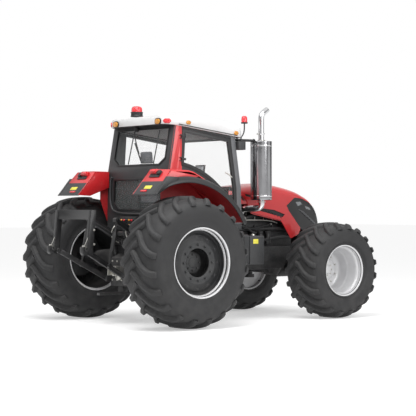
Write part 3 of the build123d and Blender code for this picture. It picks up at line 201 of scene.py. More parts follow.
def dust_group():
    """Dust that lies on upper faces and thickens towards the ground."""
    tree = bpy.data.node_groups.get("road_dust")
    if tree:
        return tree
    nodes, start, end = group_tree(
        "road_dust",
        (
            ("Colour", "NodeSocketColor", (0.5, 0.5, 0.5, 1)),
            ("Roughness", "NodeSocketFloat", 0.5),
            ("Dust", "NodeSocketColor", (0.23, 0.22, 0.21, 1)),
            ("Amount", "NodeSocketFloat", 0.2),
            ("Scale", "NodeSocketFloat", 6.0),
        ),
        (("Colour", "NodeSocketColor"), ("Roughness", "NodeSocketFloat")),
    )
    place = nodes.add("ShaderNodeTexCoord").outputs["Object"]
    cloud = nodes.add("ShaderNodeTexNoise", {"Vector": place, "Scale": start.outputs["Scale"], "Detail": 6.0})
    facing = nodes.add("ShaderNodeSeparateXYZ", {0: nodes.add("ShaderNodeNewGeometry").outputs["Normal"]})
    height = nodes.add("ShaderNodeSeparateXYZ", {0: place}).outputs["Z"]
    top = nodes.spread(facing.outputs["Z"], 0.2, 1.0)
    low = nodes.spread(height, 1.6, 0.0)
    where = nodes.math("ADD", nodes.math("MULTIPLY", top, 0.6), nodes.math("MULTIPLY", low, 0.7))
    patches = nodes.spread(cloud.outputs["Fac"], 0.38, 0.68)
    amount = nodes.math("MULTIPLY", nodes.math("MULTIPLY", where, patches), start.outputs["Amount"])
    shade = nodes.mix(amount, start.outputs["Colour"], start.outputs["Dust"])
    rough = nodes.math("ADD", start.outputs["Roughness"], nodes.math("MULTIPLY", amount, 0.5))
    nodes.tree.links.new(shade, end.inputs["Colour"])
    nodes.tree.links.new(rough, end.inputs["Roughness"])
    return nodes.tree


def grain_group():
    """Fine moulded or cast grain, as a height, and a slow unevenness of tone."""
    tree = bpy.data.node_groups.get("surface_grain")
    if tree:
        return tree
    nodes, start, end = group_tree(
        "surface_grain",
        (("Scale", "NodeSocketFloat", 400.0), ("Tone Scale", "NodeSocketFloat", 3.0)),
        (("Height", "NodeSocketFloat"), ("Tone", "NodeSocketFloat")),
    )
    place = nodes.add("ShaderNodeTexCoord").outputs["Object"]
    fine = nodes.add("ShaderNodeTexNoise", {"Vector": place, "Scale": start.outputs["Scale"], "Detail": 3.0})
    slow = nodes.add(
        "ShaderNodeTexNoise", {"Vector": place, "Scale": start.outputs["Tone Scale"], "Detail": 4.0}
    )
    nodes.tree.links.new(fine.outputs["Fac"], end.inputs["Height"])
    nodes.tree.links.new(nodes.spread(slow.outputs["Fac"], 0.3, 0.7), end.inputs["Tone"])
    return nodes.tree


def edge_group():
    """Painted edge highlights: a tone that lightens where the surface turns sharply outwards."""
    tree = bpy.data.node_groups.get("rubbed_edges")
    if tree:
        return tree
    nodes, start, end = group_tree(
        "rubbed_edges",
        (
            ("Colour", "NodeSocketColor", (0.5, 0.5, 0.5, 1)),
            ("Edge", "NodeSocketColor", (0.8, 0.8, 0.8, 1)),
            ("Amount", "NodeSocketFloat", 0.3),
        ),
        (("Colour", "NodeSocketColor"),),
    )
    bend = nodes.add("ShaderNodeNewGeometry").outputs["Pointiness"]
    place = nodes.add("ShaderNodeTexCoord").outputs["Object"]
    patches = nodes.add("ShaderNodeTexNoise", {"Vector": place, "Scale": 30.0, "Detail": 5.0}).outputs["Fac"]
    mask = nodes.math("MULTIPLY", nodes.spread(bend, 0.52, 0.6), nodes.spread(patches, 0.35, 0.65))
    amount = nodes.math("MULTIPLY", mask, start.outputs["Amount"])
    shade = nodes.mix(amount, start.outputs["Colour"], start.outputs["Edge"])
    nodes.tree.links.new(shade, end.inputs["Colour"])
    return nodes.tree


def opaque(rgb, factor=1.0):
    return (*[min(1.0, part * factor) for part in rgb], 1.0)


def finish_material(
    name,
    rgb,
    roughness,
    metallic=0.0,
    coat=0.0,
    grain=(400.0, 0.02),
    tone=0.12,
    dust=0.15,
    edge=0.25,
    highlight_rgb=None,
):
    """A painted, moulded or cast finish: uneven tone, painted highlights on sharp edges, dust and grain."""
    name = f"{name}_finish"
    material = bpy.data.materials.get(name)
    if material:
        return material
    material = bpy.data.materials.new(name)
    material.use_nodes = True
    nodes = Nodes(material.node_tree)
    shader = material.node_tree.nodes["Principled BSDF"]
    texture = nodes.add("ShaderNodeGroup", node_tree=grain_group())
    texture.inputs["Scale"].default_value = grain[0]
    base = nodes.mix(texture.outputs["Tone"], opaque(rgb, 1 - tone), opaque(rgb, 1 + tone))
    # Edges that turn sharply outwards are lightened towards a brighter copy of the colour: a painted
    # highlight.
    highlighted = nodes.add("ShaderNodeGroup", {"Colour": base, "Amount": edge}, node_tree=edge_group())
    highlighted.inputs["Edge"].default_value = opaque(highlight_rgb or [min(1, part * 2.2 + 0.03) for part in rgb])
    dusty = nodes.add(
        "ShaderNodeGroup",
        {"Colour": highlighted.outputs["Colour"], "Roughness": roughness, "Amount": dust},
        node_tree=dust_group(),
    )
    link = material.node_tree.links.new
    link(dusty.outputs["Colour"], shader.inputs["Base Color"])
    link(dusty.outputs["Roughness"], shader.inputs["Roughness"])
    bump = nodes.add("ShaderNodeBump", {"Height": texture.outputs["Height"], "Strength": 1.0})
    bump.inputs["Distance"].default_value = grain[1] / 100
    link(bump.outputs["Normal"], shader.inputs["Normal"])
    shader.inputs["Metallic"].default_value = metallic
    shader.inputs["Coat Weight"].default_value = coat
    shader.inputs["Coat Roughness"].default_value = 0.06
    return material


def painted(name, shade, factor, roughness, **options):
    """A finish that is made when first asked for; shade is a colour or the name of a panel colour."""

    def finish():
        rgb = getattr(colours(), shade) if isinstance(shade, str) else shade
        return finish_material(name, [part * factor for part in rgb], roughness, **options)

    return finish


red_paint = painted("red_paint", "red", 1, 0.34, coat=0.55, grain=(60.0, 0.008), tone=0.05, dust=0.08)
# The body red darkened for the fender's underside and wheel-well wall: a painted shade.
red_shade = painted("red_underside", "red", 0.62, 0.55, dust=0.3)
roof_paint = painted("roof_paint", "roof", 1, 0.38, coat=0.3, grain=(60.0, 0.006), tone=0.03, dust=0.1)
grey_plastic = painted("grey_plastic", "grey", 1, 0.5, grain=(900.0, 0.03), edge=0.2)
pillar_grey = painted("pillar_grey", "grey", 3.6, 0.45, edge=0.15)
# The panel grey darkened for the fender edging, which faces up into the light: a painted shade; its edges
# also get the strongest painted highlight.
band_grey = painted("band_grey", "grey", 0.42, 0.38, grain=(900.0, 0.02), edge=0.6)
black_plastic = painted("black_plastic", "black", 1, 0.42, grain=(900.0, 0.03), edge=0.25)
silver_paint = painted("silver_paint", "silver", 1, 0.33, metallic=0.15, coat=0.25, tone=0.04, dust=0.25)
rim_dark = painted("rim_dark", "grey", 0.75, 0.5, tone=0.1, dust=0.3)
tyre_rubber = painted("tyre_rubber", "rubber", 1, 0.66, grain=(260.0, 0.12), tone=0.14, dust=0.13, edge=0.25)
hose_rubber = painted("hose_rubber", "black", 1, 0.55, grain=(500.0, 0.05), dust=0.15)
cast_iron = painted("cast_iron", "casting", 1, 0.55, grain=(180.0, 0.15), tone=0.25, dust=0.4, edge=0.5)
linkage_paint = painted("linkage_paint", "casting", 1, 0.42, coat=0.15, dust=0.3, edge=0.6)
zinc = painted("zinc_steel", (0.55, 0.54, 0.5), 1, 0.32, metallic=0.9, tone=0.15, dust=0.2)
polished = painted("chrome_pipe", (0.74, 0.74, 0.75), 1, 0.1, metallic=1.0, grain=(14.0, 0.03), dust=0.05)
brushed = painted("bright_shield", (0.34, 0.34, 0.35), 1, 0.17, metallic=1.0, grain=(10.0, 0.05), dust=0.08)
yellow_plate = painted("yellow_plate", "yellow", 1, 0.4, tone=0.05, edge=0.1)
cloth = painted("seat_cloth", (0.1, 0.1, 0.11), 1, 0.9, grain=(700.0, 0.2), tone=0.2, edge=0.1)
liner = painted("cab_liner", (0.3, 0.3, 0.3), 1, 0.8, grain=(500.0, 0.08), tone=0.06)


def lens(name, rgb, ribs=180.0):
    """A clear coloured lens with moulded ribs, lit a little from within."""
    material = bpy.data.materials.get(f"{name}_finish")
    if material:
        return material
    material = finish_material(name, rgb, 0.12, coat=0.8, tone=0.1, dust=0.0, edge=0.0)
    nodes = Nodes(material.node_tree)
    shader = material.node_tree.nodes["Principled BSDF"]
    place = nodes.add("ShaderNodeTexCoord").outputs["Object"]
    rib = nodes.add(
        "ShaderNodeTexWave", {"Vector": place, "Scale": ribs, "Distortion": 0.0}, bands_direction="Z"
    )
    bump = nodes.add("ShaderNodeBump", {"Height": rib.outputs["Fac"], "Strength": 0.6, "Distance": 0.002})
    material.node_tree.links.new(bump.outputs["Normal"], shader.inputs["Normal"])
    shader.inputs["Emission Color"].default_value = opaque(rgb)
    shader.inputs["Emission Strength"].default_value = 0.05
    return material


def amber_lens():
    return lens("amber_lens", colours().amber)


def red_lens():
    return lens("red_lens", (0.75, 0.02, 0.03))


def clear_lens():
    return lens("clear_lens", (0.75, 0.77, 0.8))


def window_glass():
    """Thin tinted glass: mostly clear, with its own sheen and faint streaks."""
    name, alpha, rgb = "cab_glass", 0.045, (0.74, 0.78, 0.78)
    material = bpy.data.materials.get(name)
    if material:
        return material
    material = bpy.data.materials.new(name)
    material.use_nodes = True
    nodes = Nodes(material.node_tree)
    shader = material.node_tree.nodes["Principled BSDF"]
    place = nodes.add("ShaderNodeTexCoord").outputs["Object"]
    streaks = nodes.add("ShaderNodeTexNoise", {"Vector": place, "Scale": 2.5, "Detail": 3.0}).outputs["Fac"]
    tint = nodes.mix(nodes.spread(streaks, 0.3, 0.7), opaque(rgb, 0.9), opaque(rgb, 1.1))
    material.node_tree.links.new(tint, shader.inputs["Base Color"])
    clear = nodes.spread(streaks, 0.3, 0.7, alpha * 0.85, alpha * 1.15)
    material.node_tree.links.new(clear, shader.inputs["Alpha"])
    shader.inputs["Roughness"].default_value = 0.03
    shader.inputs["Coat Weight"].default_value = 0.5
    return material


# ---- mesh building ---------------------------------------------------------------------


def rounded(route, rounds=3):
    """A route with its corners cut again and again, its ends kept."""
    points = [Vector(point) for point in route]
    for _ in range(rounds if len(points) > 2 else 0):
        cut = [points[0]]
        for a, b in zip(points, points[1:]):
            cut += [a.lerp(b, 0.25), a.lerp(b, 0.75)]
        points = cut[:1] + cut[2:-1] + [points[-1]] if len(cut) > 3 else cut + [points[-1]]
    return points


def through(table, steps):
    """Values on smooth curves through the rows of a table, evenly spaced along it."""
    rows = [Vector(row) for row in table]
    rows = [rows[0] * 2 - rows[1], *rows, rows[-1] * 2 - rows[-2]]
    spans = len(rows) - 3
    values = []
    for k in range(steps):
        place = k / (steps - 1) * spans
        i = min(int(place), spans - 1)
        t = place - i
        a, b, c, d = rows[i : i + 4]
        values.append(
            0.5 * (
                (2 * b) + (c - a) * t + (2 * a - 5 * b + 4 * c - d) * t**2 + (3 * b - a - 3 * c + d) * t**3
            )
        )
    return values


class Shape:
    """A mesh under construction, in the frame's metres, with a material for each part of it."""

    def __init__(self):
        self.verts = []
        self.faces = []
        self.kinds = []
        self.materials = []

    def add(self, verts, faces, material):
        """New vertices and faces, in one material or one for each face."""
        start = len(self.verts)
        self.verts += [Vector(vert) for vert in verts]
        chosen = material if isinstance(material, list) else [material] * len(faces)
        for face, finish in zip(faces, chosen):
            if finish not in self.materials:
                self.materials.append(finish)
            self.faces.append([start + k for k in face])
            self.kinds.append(self.materials.index(finish))

    def rings(self, rings, material, closed=False):
        """A skin over rings of equal count, capped, or closed from the last ring to the first."""
        count = len(rings[0])
        faces = []
        finishes = []
        spans = len(rings) if closed else len(rings) - 1
        for i in range(spans):
            here, there = i * count, (i + 1) % len(rings) * count
            for k in range(count):
                n = (k + 1) % count
                faces.append((here + k, here + n, there + n, there + k))
                finishes.append(material[k] if isinstance(material, list) else material)
        if not closed:
            last = (len(rings) - 1) * count
            faces += [tuple(range(count)), tuple(range(last, last + count))]
            cap = material[0] if isinstance(material, list) else material
            finishes += [cap, cap]
        self.add([vert for ring in rings for vert in ring], faces, finishes)

    def block(self, low, high, material):
        """A block between two corners."""
        (x0, y0, z0), (x1, y1, z1) = low, high
        ring = [(x0, y0), (x1, y0), (x1, y1), (x0, y1)]
        self.rings([[Vector((x, y, z)) for x, y in ring] for z in (z0, z1)], material)

    def prism(self, outline, x, material):
        """A plate from a (rearward, up) outline between two distances to the left."""
        self.rings([[at(side, y, z) for y, z in outline] for side in x], material)

    def tube(self, route, radius, material, rounds=3, sides=12):
        """A round bar along frame points; radius may be one value for each point of the route."""
        points = rounded(route, rounds)
        thick = radius if isinstance(radius, (int, float)) else None
        rings = []
        across = None
        for k, point in enumerate(points):
            before = points[max(k - 1, 0)]
            after = points[min(k + 1, len(points) - 1)]
            along = (after - before).normalized()
            if across is None:
                across = along.orthogonal().normalized()
            across = (across - along * across.dot(along)).normalized()
            other = along.cross(across)
            if thick is None:
                place = k / (len(points) - 1) * (len(radius) - 1)
                i = min(int(place), len(radius) - 2)
                size = radius[i] + (radius[i + 1] - radius[i]) * (place - i)
            else:
                size = thick
            turns = [2 * pi * n / sides for n in range(sides)]
            rings.append([point + (across * cos(a) + other * sin(a)) * size for a in turns])
        self.rings(rings, material)

    def lathe(self, profile, centre, material, axis="X", turn=1, steps=96):
        """A closed (along, radius) profile turned round an axis through a frame point."""
        rings = []
        for n in range(steps):
            a = 2 * pi * n / steps
            ring = []
            for along, radius in profile:
                u, v = radius * cos(a), radius * sin(a)
                along *= turn
                ring.append(
                    centre + Vector({"X": (along, u, v), "Y": (u, along, v), "Z": (u, v, along)}[axis])
                )
            rings.append(ring)
        self.rings(rings, material, closed=True)

    def frame(self, outer, inner, near, far, material):
        """A flat frame between two outlines of equal count; near and far place a 2D point."""
        count = len(outer)
        verts = [near(p) for p in outer] + [near(p) for p in inner]
        verts += [far(p) for p in outer] + [far(p) for p in inner]
        faces = []
        for k in range(count):
            n = (k + 1) % count
            faces.append((k, n, count + n, count + k))
            faces.append((2 * count + k, 3 * count + k, 3 * count + n, 2 * count + n))
            faces.append((k, 2 * count + k, 2 * count + n, n))
            faces.append((count + k, count + n, 3 * count + n, 3 * count + k))
        self.add(verts, faces, material)

    def take(self, other):
        """Adds another shape to this one."""
        faces = [tuple(face) for face in other.faces]
        self.add(other.verts, faces, [other.materials[kind] for kind in other.kinds])

    def object(self, name, bevel=0.0, sharp=35, rounds=2):
        """A Blender object with its doubles merged, faces outwards and edges rounded."""
        mesh = bpy.data.meshes.new(name)
        mesh.from_pydata(self.verts, [], self.faces)
        for finish in self.materials:
            mesh.materials.append(finish)
        mesh.polygons.foreach_set("material_index", self.kinds)
        work = bmesh.new()
        work.from_mesh(mesh)
        bmesh.ops.remove_doubles(work, verts=work.verts, dist=MERGE)
        bmesh.ops.recalc_face_normals(work, faces=work.faces)
        work.to_mesh(mesh)
        work.free()
        piece = add_object(name, mesh)
        round_edges(piece, bevel, sharp, rounds)
        return piece

    def piece(self, name, body, slot, replaces=(), **finish):
        """The finished piece on its body."""
        piece = self.object(name, **finish)
        place(piece, body, slot, replaces)
        return piece


def add_object(name, data):
    """A new object in the scene."""
    item = bpy.data.objects.new(name, data)
    bpy.context.collection.objects.link(item)
    return item


def round_edges(piece, bevel, sharp, rounds):
    """Rounds the corners over an angle in degrees and smooths the rest."""
    if bevel:
        modifier = piece.modifiers.new("edges", "BEVEL")
        modifier.width = bevel
        modifier.segments = rounds
        modifier.limit_method = "ANGLE"
        modifier.angle_limit = radians(sharp)
        apply_modifiers(piece)
    piece.data.shade_smooth()
    piece.data.set_sharp_from_angle(angle=radians(sharp + SMOOTH_PAST))


def place(piece, body, slot, replaces=()):
    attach(piece, body)
    if replaces:
        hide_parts(*replaces)


def apply_modifiers(piece):
    """Turns a piece's modifiers into its own mesh."""
    graph = bpy.context.evaluated_depsgraph_get()
    mesh = bpy.data.meshes.new_from_object(piece.evaluated_get(graph), depsgraph=graph)
    old = piece.data
    piece.modifiers.clear()
    piece.data = mesh
    mesh.name = piece.name
    bpy.data.meshes.remove(old)


def repeat_tree():
    """Geometry Nodes: copies of the incoming mesh, each moved and turned on from the last."""
    tree = bpy.data.node_groups.get("repeat_copies")
    if tree:
        return tree
    tree = bpy.data.node_groups.new("repeat_copies", "GeometryNodeTree")
    for label, kind in (
        ("Geometry", "NodeSocketGeometry"),
        ("Count", "NodeSocketInt"),
        ("Offset", "NodeSocketVector"),
        ("Turn", "NodeSocketVector"),
        ("Material", "NodeSocketMaterial"),
    ):
        tree.interface.new_socket(label, in_out="INPUT", socket_type=kind)
    tree.interface.new_socket("Geometry", in_out="OUTPUT", socket_type="NodeSocketGeometry")
    nodes = Nodes(tree)
    start = nodes.add("NodeGroupInput")
    line = nodes.add(
        "GeometryNodeMeshLine", {"Count": start.outputs["Count"], "Offset": start.outputs["Offset"]}
    )
    index = nodes.add("GeometryNodeInputIndex").outputs[0]
    turn = nodes.add("ShaderNodeVectorMath", {0: start.outputs["Turn"], "Scale": index}, operation="SCALE")
    rotation = nodes.add("FunctionNodeEulerToRotation", {0: turn.outputs[0]})
    copies = nodes.add(
        "GeometryNodeInstanceOnPoints",
        {
            "Points": line.outputs[0],
            "Instance": start.outputs["Geometry"],
            "Rotation": rotation.outputs[0],
        },
    )
    real = nodes.add("GeometryNodeRealizeInstances", {0: copies.outputs[0]})
    finished = nodes.add(
        "GeometryNodeSetMaterial", {"Geometry": real.outputs[0], "Material": start.outputs["Material"]}
    )
    end = nodes.add("NodeGroupOutput")
    tree.links.new(finished.outputs[0], end.inputs[0])
    return tree


def repeated(shape, name, count, material, offset=(0, 0, 0), turn=(0, 0, 0), centre=(0, 0, 0), **finish):
    """Copies of a shape made near the origin, as one object moved to a centre."""
    piece = shape.object(name, **finish)
    tree = repeat_tree()
    sockets = {item.name: item.identifier for item in tree.interface.items_tree if item.in_out == "INPUT"}
    modifier = piece.modifiers.new("copies", "NODES")
    modifier.node_group = tree
    modifier[sockets["Count"]] = count
    modifier[sockets["Offset"]] = offset
    modifier[sockets["Turn"]] = turn
    modifier[sockets["Material"]] = material
    apply_modifiers(piece)
    piece.data.transform(Matrix.Translation(centre))
    return piece


def merged(name, objects):
    """One object from several, their materials kept."""
    materials = []
    for item in objects:
        materials += [finish for finish in item.data.materials if finish not in materials]
    mesh = bpy.data.meshes.new(name)
    for finish in materials:
        mesh.materials.append(finish)
    work = bmesh.new()
    for item in objects:
        order = [materials.index(finish) for finish in item.data.materials]
        start = len(work.faces)
        work.from_mesh(item.data)
        work.faces.ensure_lookup_table()
        for face in work.faces[start:]:
            face.material_index = order[face.material_index]
    work.to_mesh(mesh)
    work.free()
    for item in objects:
        bpy.data.objects.remove(item)
    return add_object(name, mesh)


def bolt(radius, height, axis="X", turn=1):
    """A hexagon head with a washer, at the origin, standing along an axis."""
    shape = Shape()
    washer = solid((0, radius * 1.35), (height * 0.18, radius * 1.35))
    head = solid((0, radius), (height * 0.85, radius), (height, radius * 0.8))
    shape.lathe(washer, Vector(), zinc(), axis, turn, 16)
    shape.lathe(head, Vector(), zinc(), axis, turn, 6)
    return shape


def solid(*profile):
    """A lathe profile closed on its axis at both ends."""
    return [(profile[0][0], 0), *profile, (profile[-1][0], 0)]


def hoop(start, end, inside, outside):
    """A lathe profile of a plain ring."""
    return [(start, inside), (start, outside), (end, outside), (end, inside)]


def moved(shape, spot):
    """The same shape, shifted."""
    shape.verts = [vert + spot for vert in shape.verts]
    return shape


def bolt_circle(name, count, head, out, radius, side, centre, material):
    """Bolts with a (radius, height) head on a circle round a wheel's axis."""
    one = moved(bolt(*head, "X", side), Vector((side * out, 0, radius)))
    return repeated(one, name, count, material, turn=(2 * pi / count, 0, 0), centre=centre)


# ---- wheels ----------------------------------------------------------------------------


def wheel_sizes(kind):
    """Radius, half width, flange radius and rim half width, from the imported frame."""
    low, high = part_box(f"tyre_{kind}_left")
    rim_low, rim_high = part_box(f"rim_{kind}_left")
    return (
        (high[2] - low[2]) / 2,
        (high[0] - low[0]) / 2,
        (rim_high[2] - rim_low[2]) / 2,
        (rim_high[0] - rim_low[0]) / 2,
    )


def lug_shape(radius, half, width, hand):
    """One curved lug from past the tread's middle, over the shoulder and onto the sidewall."""
    # Along the lug: out to the side, radius of its top, height over the casing, turn, width.
    table = (
        (-0.045, 1.000, 0.052, 0.030, 1.10),
        (half * 0.09, 1.000, 0.052, -0.050, 1.00),
        (half * 0.30, 0.999, 0.053, -0.150, 0.98),
        (half * 0.50, 0.993, 0.056, -0.230, 1.02),
        (half * 0.70, 0.976, 0.060, -0.288, 1.12),
        (half * 0.86, 0.944, 0.064, -0.318, 1.26),
        (half * 0.955, 0.902, 0.060, -0.330, 1.36),
        (half * 0.988, 0.868, 0.040, -0.335, 1.34),
    )
    rows = through([Vector(row[:3]) for row in table], LUG_STEPS)
    more = through([Vector((row[3], row[4], 0)) for row in table], LUG_STEPS)
    line = [
        (Vector((out * hand, r * radius * cos(turn), r * radius * sin(turn))), tall, wide * width)
        for (out, r, tall), (turn, wide, _) in zip(rows, more)
    ]
    rings = []
    for k, (point, tall, wide) in enumerate(line):
        back, ahead = max(k - 1, 0), min(k + 1, LUG_STEPS - 1)
        before, after = line[back][0], line[ahead][0]
        along = (after - before).normalized()
        run_out = rows[ahead][0] - rows[back][0]
        rise = rows[ahead][1] * radius - rows[back][1] * radius
        slope = Vector((-rise * hand, run_out)).normalized()
        spoke = Vector((0, point.y, point.z)).normalized()
        up = (Vector((slope.x, 0, 0)) + spoke * slope.y).normalized()
        across = up.cross(along).normalized() * hand
        top, foot, soft = wide / 2, wide / 2 + 0.022, 0.009
        deep = tall + 0.02
        rings.append(
            [
                point - up * deep - across * foot,
                point - up * soft - across * top,
                point - across * (top - soft),
                point + across * (top - soft),
                point - up * soft + across * top,
                point - up * deep + across * foot,
            ]
        )
    shape = Shape()
    shape.rings(rings, tyre_rubber())
    return shape


def tyre_casing(radius, half, flange, seat):
    """The casing's profile: bead, rim guard, sidewall, shoulder and crown."""
    outer = [
        (seat - 0.016, flange - 0.03), (seat - 0.004, flange + 0.001), (seat + 0.003, flange + 0.012),
        (seat + 0.005, flange + 0.024), (seat + 0.002, flange + 0.034), (half - 0.01, radius * 0.615),
        (half - 0.001, radius * 0.66), (half, radius * 0.72), (half - 0.002, radius * 0.775),
        (half - 0.02, radius * 0.84), (half - 0.058, radius * 0.883), (half - 0.12, radius * 0.917),
        (half - 0.21, radius * 0.937), (half - 0.32, radius * 0.945), (0.0, radius * 0.947),
    ]
    outer = [outer[0], *[(p.x, p.y) for p in through([Vector(p) for p in outer[1:]], 40)]]
    inner = [(-out, r) for out, r in reversed(outer[:-1])]
    return outer + inner


def make_tyre(kind, name):
    radius, half, flange, seat = wheel_sizes(kind)
    centre = middle(f"rim_{kind}_{name}")
    count = getattr(sizes(), f"{kind}_lugs")
    casing = Shape()
    casing.lathe(tyre_casing(radius, half, flange, seat), centre, tyre_rubber(), steps=TYRE_STEPS)
    parts = [casing.object("casing", sharp=50)]
    step = 2 * pi / count
    # The lugs of one hand stand half a step on from those of the other.
    for hand, start in ((1, 0.0), (-1, step / 2)):
        lug = lug_shape(radius, half, sizes().lug_width, hand)
        spin = Matrix.Rotation(start, 3, "X")
        lug.verts = [spin @ vert for vert in lug.verts]
        parts.append(repeated(lug, "lugs", count, tyre_rubber(), turn=(step, 0, 0), centre=centre, sharp=50))
    place(
        merged(f"tyre_{kind}_{name}_skin", parts), f"wheel_{kind}_{name}", "tyre_rubber",
        [f"tyre_{kind}_{name}"],
    )


def make_rim(seat, rows, back, centre, side):
    """A rim: the visible face by rows of (depth, radius, finish), then back behind it."""
    finishes = [finish for _, _, finish in rows]
    finishes += [finishes[-1]] * (len(back) - 5) + [finishes[0]] * 5
    rim = Shape()
    rim.lathe(
        [(seat - depth, r) for depth, r, _ in rows] + back, centre, finishes, turn=side, steps=RIM_STEPS
    )
    return rim.object("rim", sharp=40)


NOTCHES = 12  # round a rear wheel's centre


def make_rear_rim(name, side):
    _, _, flange, seat = wheel_sizes("rear")
    centre = middle(f"rim_rear_{name}")
    bright, dark = silver_paint(), rim_dark()
    rows = [
        (0.010, flange - 0.022, bright),
        (0.000, flange - 0.004, bright),
        (0.000, flange - 0.014, bright),
        (0.006, flange - 0.026, bright),
        (0.024, flange - 0.031, bright),
        (0.036, flange - 0.030, dark),
        (0.066, flange - 0.026, dark),
        (0.068, flange - 0.030, bright),
        (0.071, flange - 0.040, bright),
        (0.080, flange - 0.048, bright),
        (0.094, flange - 0.050, dark),
        (0.160, flange - 0.052, dark),
        (0.166, 0.470, dark),
        (0.150, 0.440, dark),
        (0.132, 0.425, dark),
        (0.124, 0.345, dark),
        (0.112, 0.333, dark),
        (0.110, 0.320, dark),
        (0.112, 0.235, dark),
        (0.120, 0.222, dark),
    ]
    back = [
        (seat - 0.136, 0.222), (seat - 0.13, 0.33), (seat - 0.18, 0.47), (seat - 0.19, flange - 0.04),
        (-seat + 0.03, flange - 0.04), (-seat + 0.012, flange - 0.03), (-seat, flange - 0.012),
        (-seat + 0.002, flange - 0.002), (-seat + 0.014, flange - 0.024),
    ]
    parts = [make_rim(seat, rows, back, centre, side)]
    notch = Shape()
    deep = seat - 0.158
    low, high = Vector((side * (deep - 0.004), -0.03, 0.372)), Vector((side * (deep + 0.03), 0.03, 0.418))
    notch.block(low, high, black_plastic())
    turn = (2 * pi / NOTCHES, 0, 0)
    parts.append(repeated(notch, "notches", NOTCHES, black_plastic(), turn=turn, centre=centre, bevel=0.009))
    parts.append(
        bolt_circle("bolts", sizes().bolts, (0.016, 0.026), seat - 0.111, 0.275, side, centre, rim_dark())
    )
    place(merged(f"rim_rear_{name}_skin", parts), f"wheel_rear_{name}", "rim_silver", [f"rim_rear_{name}"])


def make_rear_hub(name, side):
    """The axle's hub and flange behind the wheel centre, with the shaft to the housing."""
    _, _, _, seat = wheel_sizes("rear")
    centre = middle(f"rim_rear_{name}")
    low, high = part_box(f"axle_shaft_{name}")
    shaft_in = (low[0] if side > 0 else -high[0]) - abs(centre.x)
    hub = seat - 0.25
    profile = solid(
        (hub + 0.008, 0.07), (hub, 0.078), (hub, 0.16), (hub - 0.006, 0.172), (hub - 0.02, 0.178),
        (hub - 0.078, 0.184), (hub - 0.08, 0.312), (seat - 0.1282, 0.312), (seat - 0.1282, 0.32),
        (hub - 0.098, 0.32), (hub - 0.1, 0.09), (shaft_in + 0.2, 0.056), (shaft_in, 0.054),
    )
    shape = Shape()
    shape.lathe(profile, centre, rim_dark(), turn=side, steps=HUB_STEPS)
    parts = [shape.object("hub", bevel=0.003)]
    parts.append(bolt_circle("hub_bolts", 8, (0.014, 0.018), hub, 0.125, side, centre, cast_iron()))
    place(merged(f"rear_hub_{name}", parts), f"wheel_rear_{name}", "cast_grey", [f"axle_shaft_{name}"])


def make_front_rim(name, side):
    _, _, flange, seat = wheel_sizes("front")
    centre = middle(f"rim_front_{name}")
    bright = silver_paint()
    rows = [
        (0.010, flange - 0.020, bright),
        (0.000, flange - 0.003, bright),
        (0.000, flange - 0.012, bright),
        (0.008, flange - 0.024, bright),
        (0.030, flange - 0.031, bright),
        (0.080, flange - 0.034, bright),
        (0.088, flange - 0.046, bright),
        (0.094, 0.378, bright),
        (0.130, 0.368, bright),
        (0.270, 0.362, bright),
        (0.294, 0.352, bright),
        (0.302, 0.346, bright),
        (0.330, 0.342, bright),
        (0.440, 0.338, bright),
        (0.478, 0.322, bright),
        (0.492, 0.290, bright),
        (0.506, 0.222, bright),
        (0.510, 0.200, bright),
    ]
    back = [
        (seat - 0.54, 0.2), (seat - 0.556, 0.35), (seat - 0.566, flange - 0.03),
        (-seat + 0.02, flange - 0.03), (-seat + 0.002, flange - 0.014), (-seat, flange - 0.002),
        (-seat + 0.012, flange - 0.022),
    ]
    parts = [make_rim(seat, rows, back, centre, side)]
    parts.append(bolt_circle("bolts", 10, (0.013, 0.022), seat - 0.505, 0.255, side, centre, zinc()))
    place(merged(f"rim_front_{name}_skin", parts), f"wheel_front_{name}", "rim_silver", [f"rim_front_{name}"])


def make_front_hub(name, side):
    _, _, _, seat = wheel_sizes("front")
    centre = middle(f"rim_front_{name}")
    disc = seat - 0.51
    profile = [
        (disc - 0.056, 0.0605), (disc - 0.056, 0.238), (disc - 0.039, 0.238), (disc - 0.038, 0.196),
        (disc + 0.02, 0.19), (disc + 0.062, 0.182), (disc + 0.076, 0.16), (disc + 0.084, 0.12),
        (disc + 0.084, 0.0605),
    ]
    shape = Shape()
    shape.lathe(profile, centre, silver_paint(), turn=side, steps=HUB_STEPS)
    cap = [
        (disc + 0.084, 0.0), (disc + 0.084, 0.072), (disc + 0.108, 0.066), (disc + 0.116, 0.04),
        (disc + 0.117, 0.0),
    ]
    shape.lathe(cap, centre, silver_paint(), turn=side, steps=40)
    parts = [shape.object("hub", bevel=0.003)]
    parts.append(bolt_circle("hub_bolts", 8, (0.011, 0.014), disc + 0.083, 0.096, side, centre, zinc()))
    place(merged(f"front_hub_{name}", parts), f"wheel_front_{name}", "rim_silver", [f"hub_front_{name}"])


# ---- fenders ---------------------------------------------------------------------------

ARCH = (-0.1, 1.0)  # centre of the fenders' arch, rearward and up
ARCH_R = 1.25
FENDER_R = 1.35
FENDER_IN = 0.842
FENDER_OUT = 1.33
BAND_OUT = 1.402
REAR_LEAN = Vector((0, 0.76, 0.65))  # outwards from the fenders' sloping rear face
REAR_SLOPE = Vector((0, 0.327, -0.387)).normalized()  # down that face


def on_arch(radius, y):
    """A (rearward, up) point of a circle round the arch's centre."""
    return (y, ARCH[1] + sqrt(radius**2 - (y - ARCH[0]) ** 2))


def arch_run(radius, start, end, steps):
    """Points along the arch between two stations."""
    a = atan2(on_arch(radius, start)[1] - ARCH[1], start - ARCH[0])
    b = atan2(on_arch(radius, end)[1] - ARCH[1], end - ARCH[0])
    turns = [a + (b - a) * k / (steps - 1) for k in range(steps)]
    return [(ARCH[0] + radius * cos(t), ARCH[1] + radius * sin(t)) for t in turns]


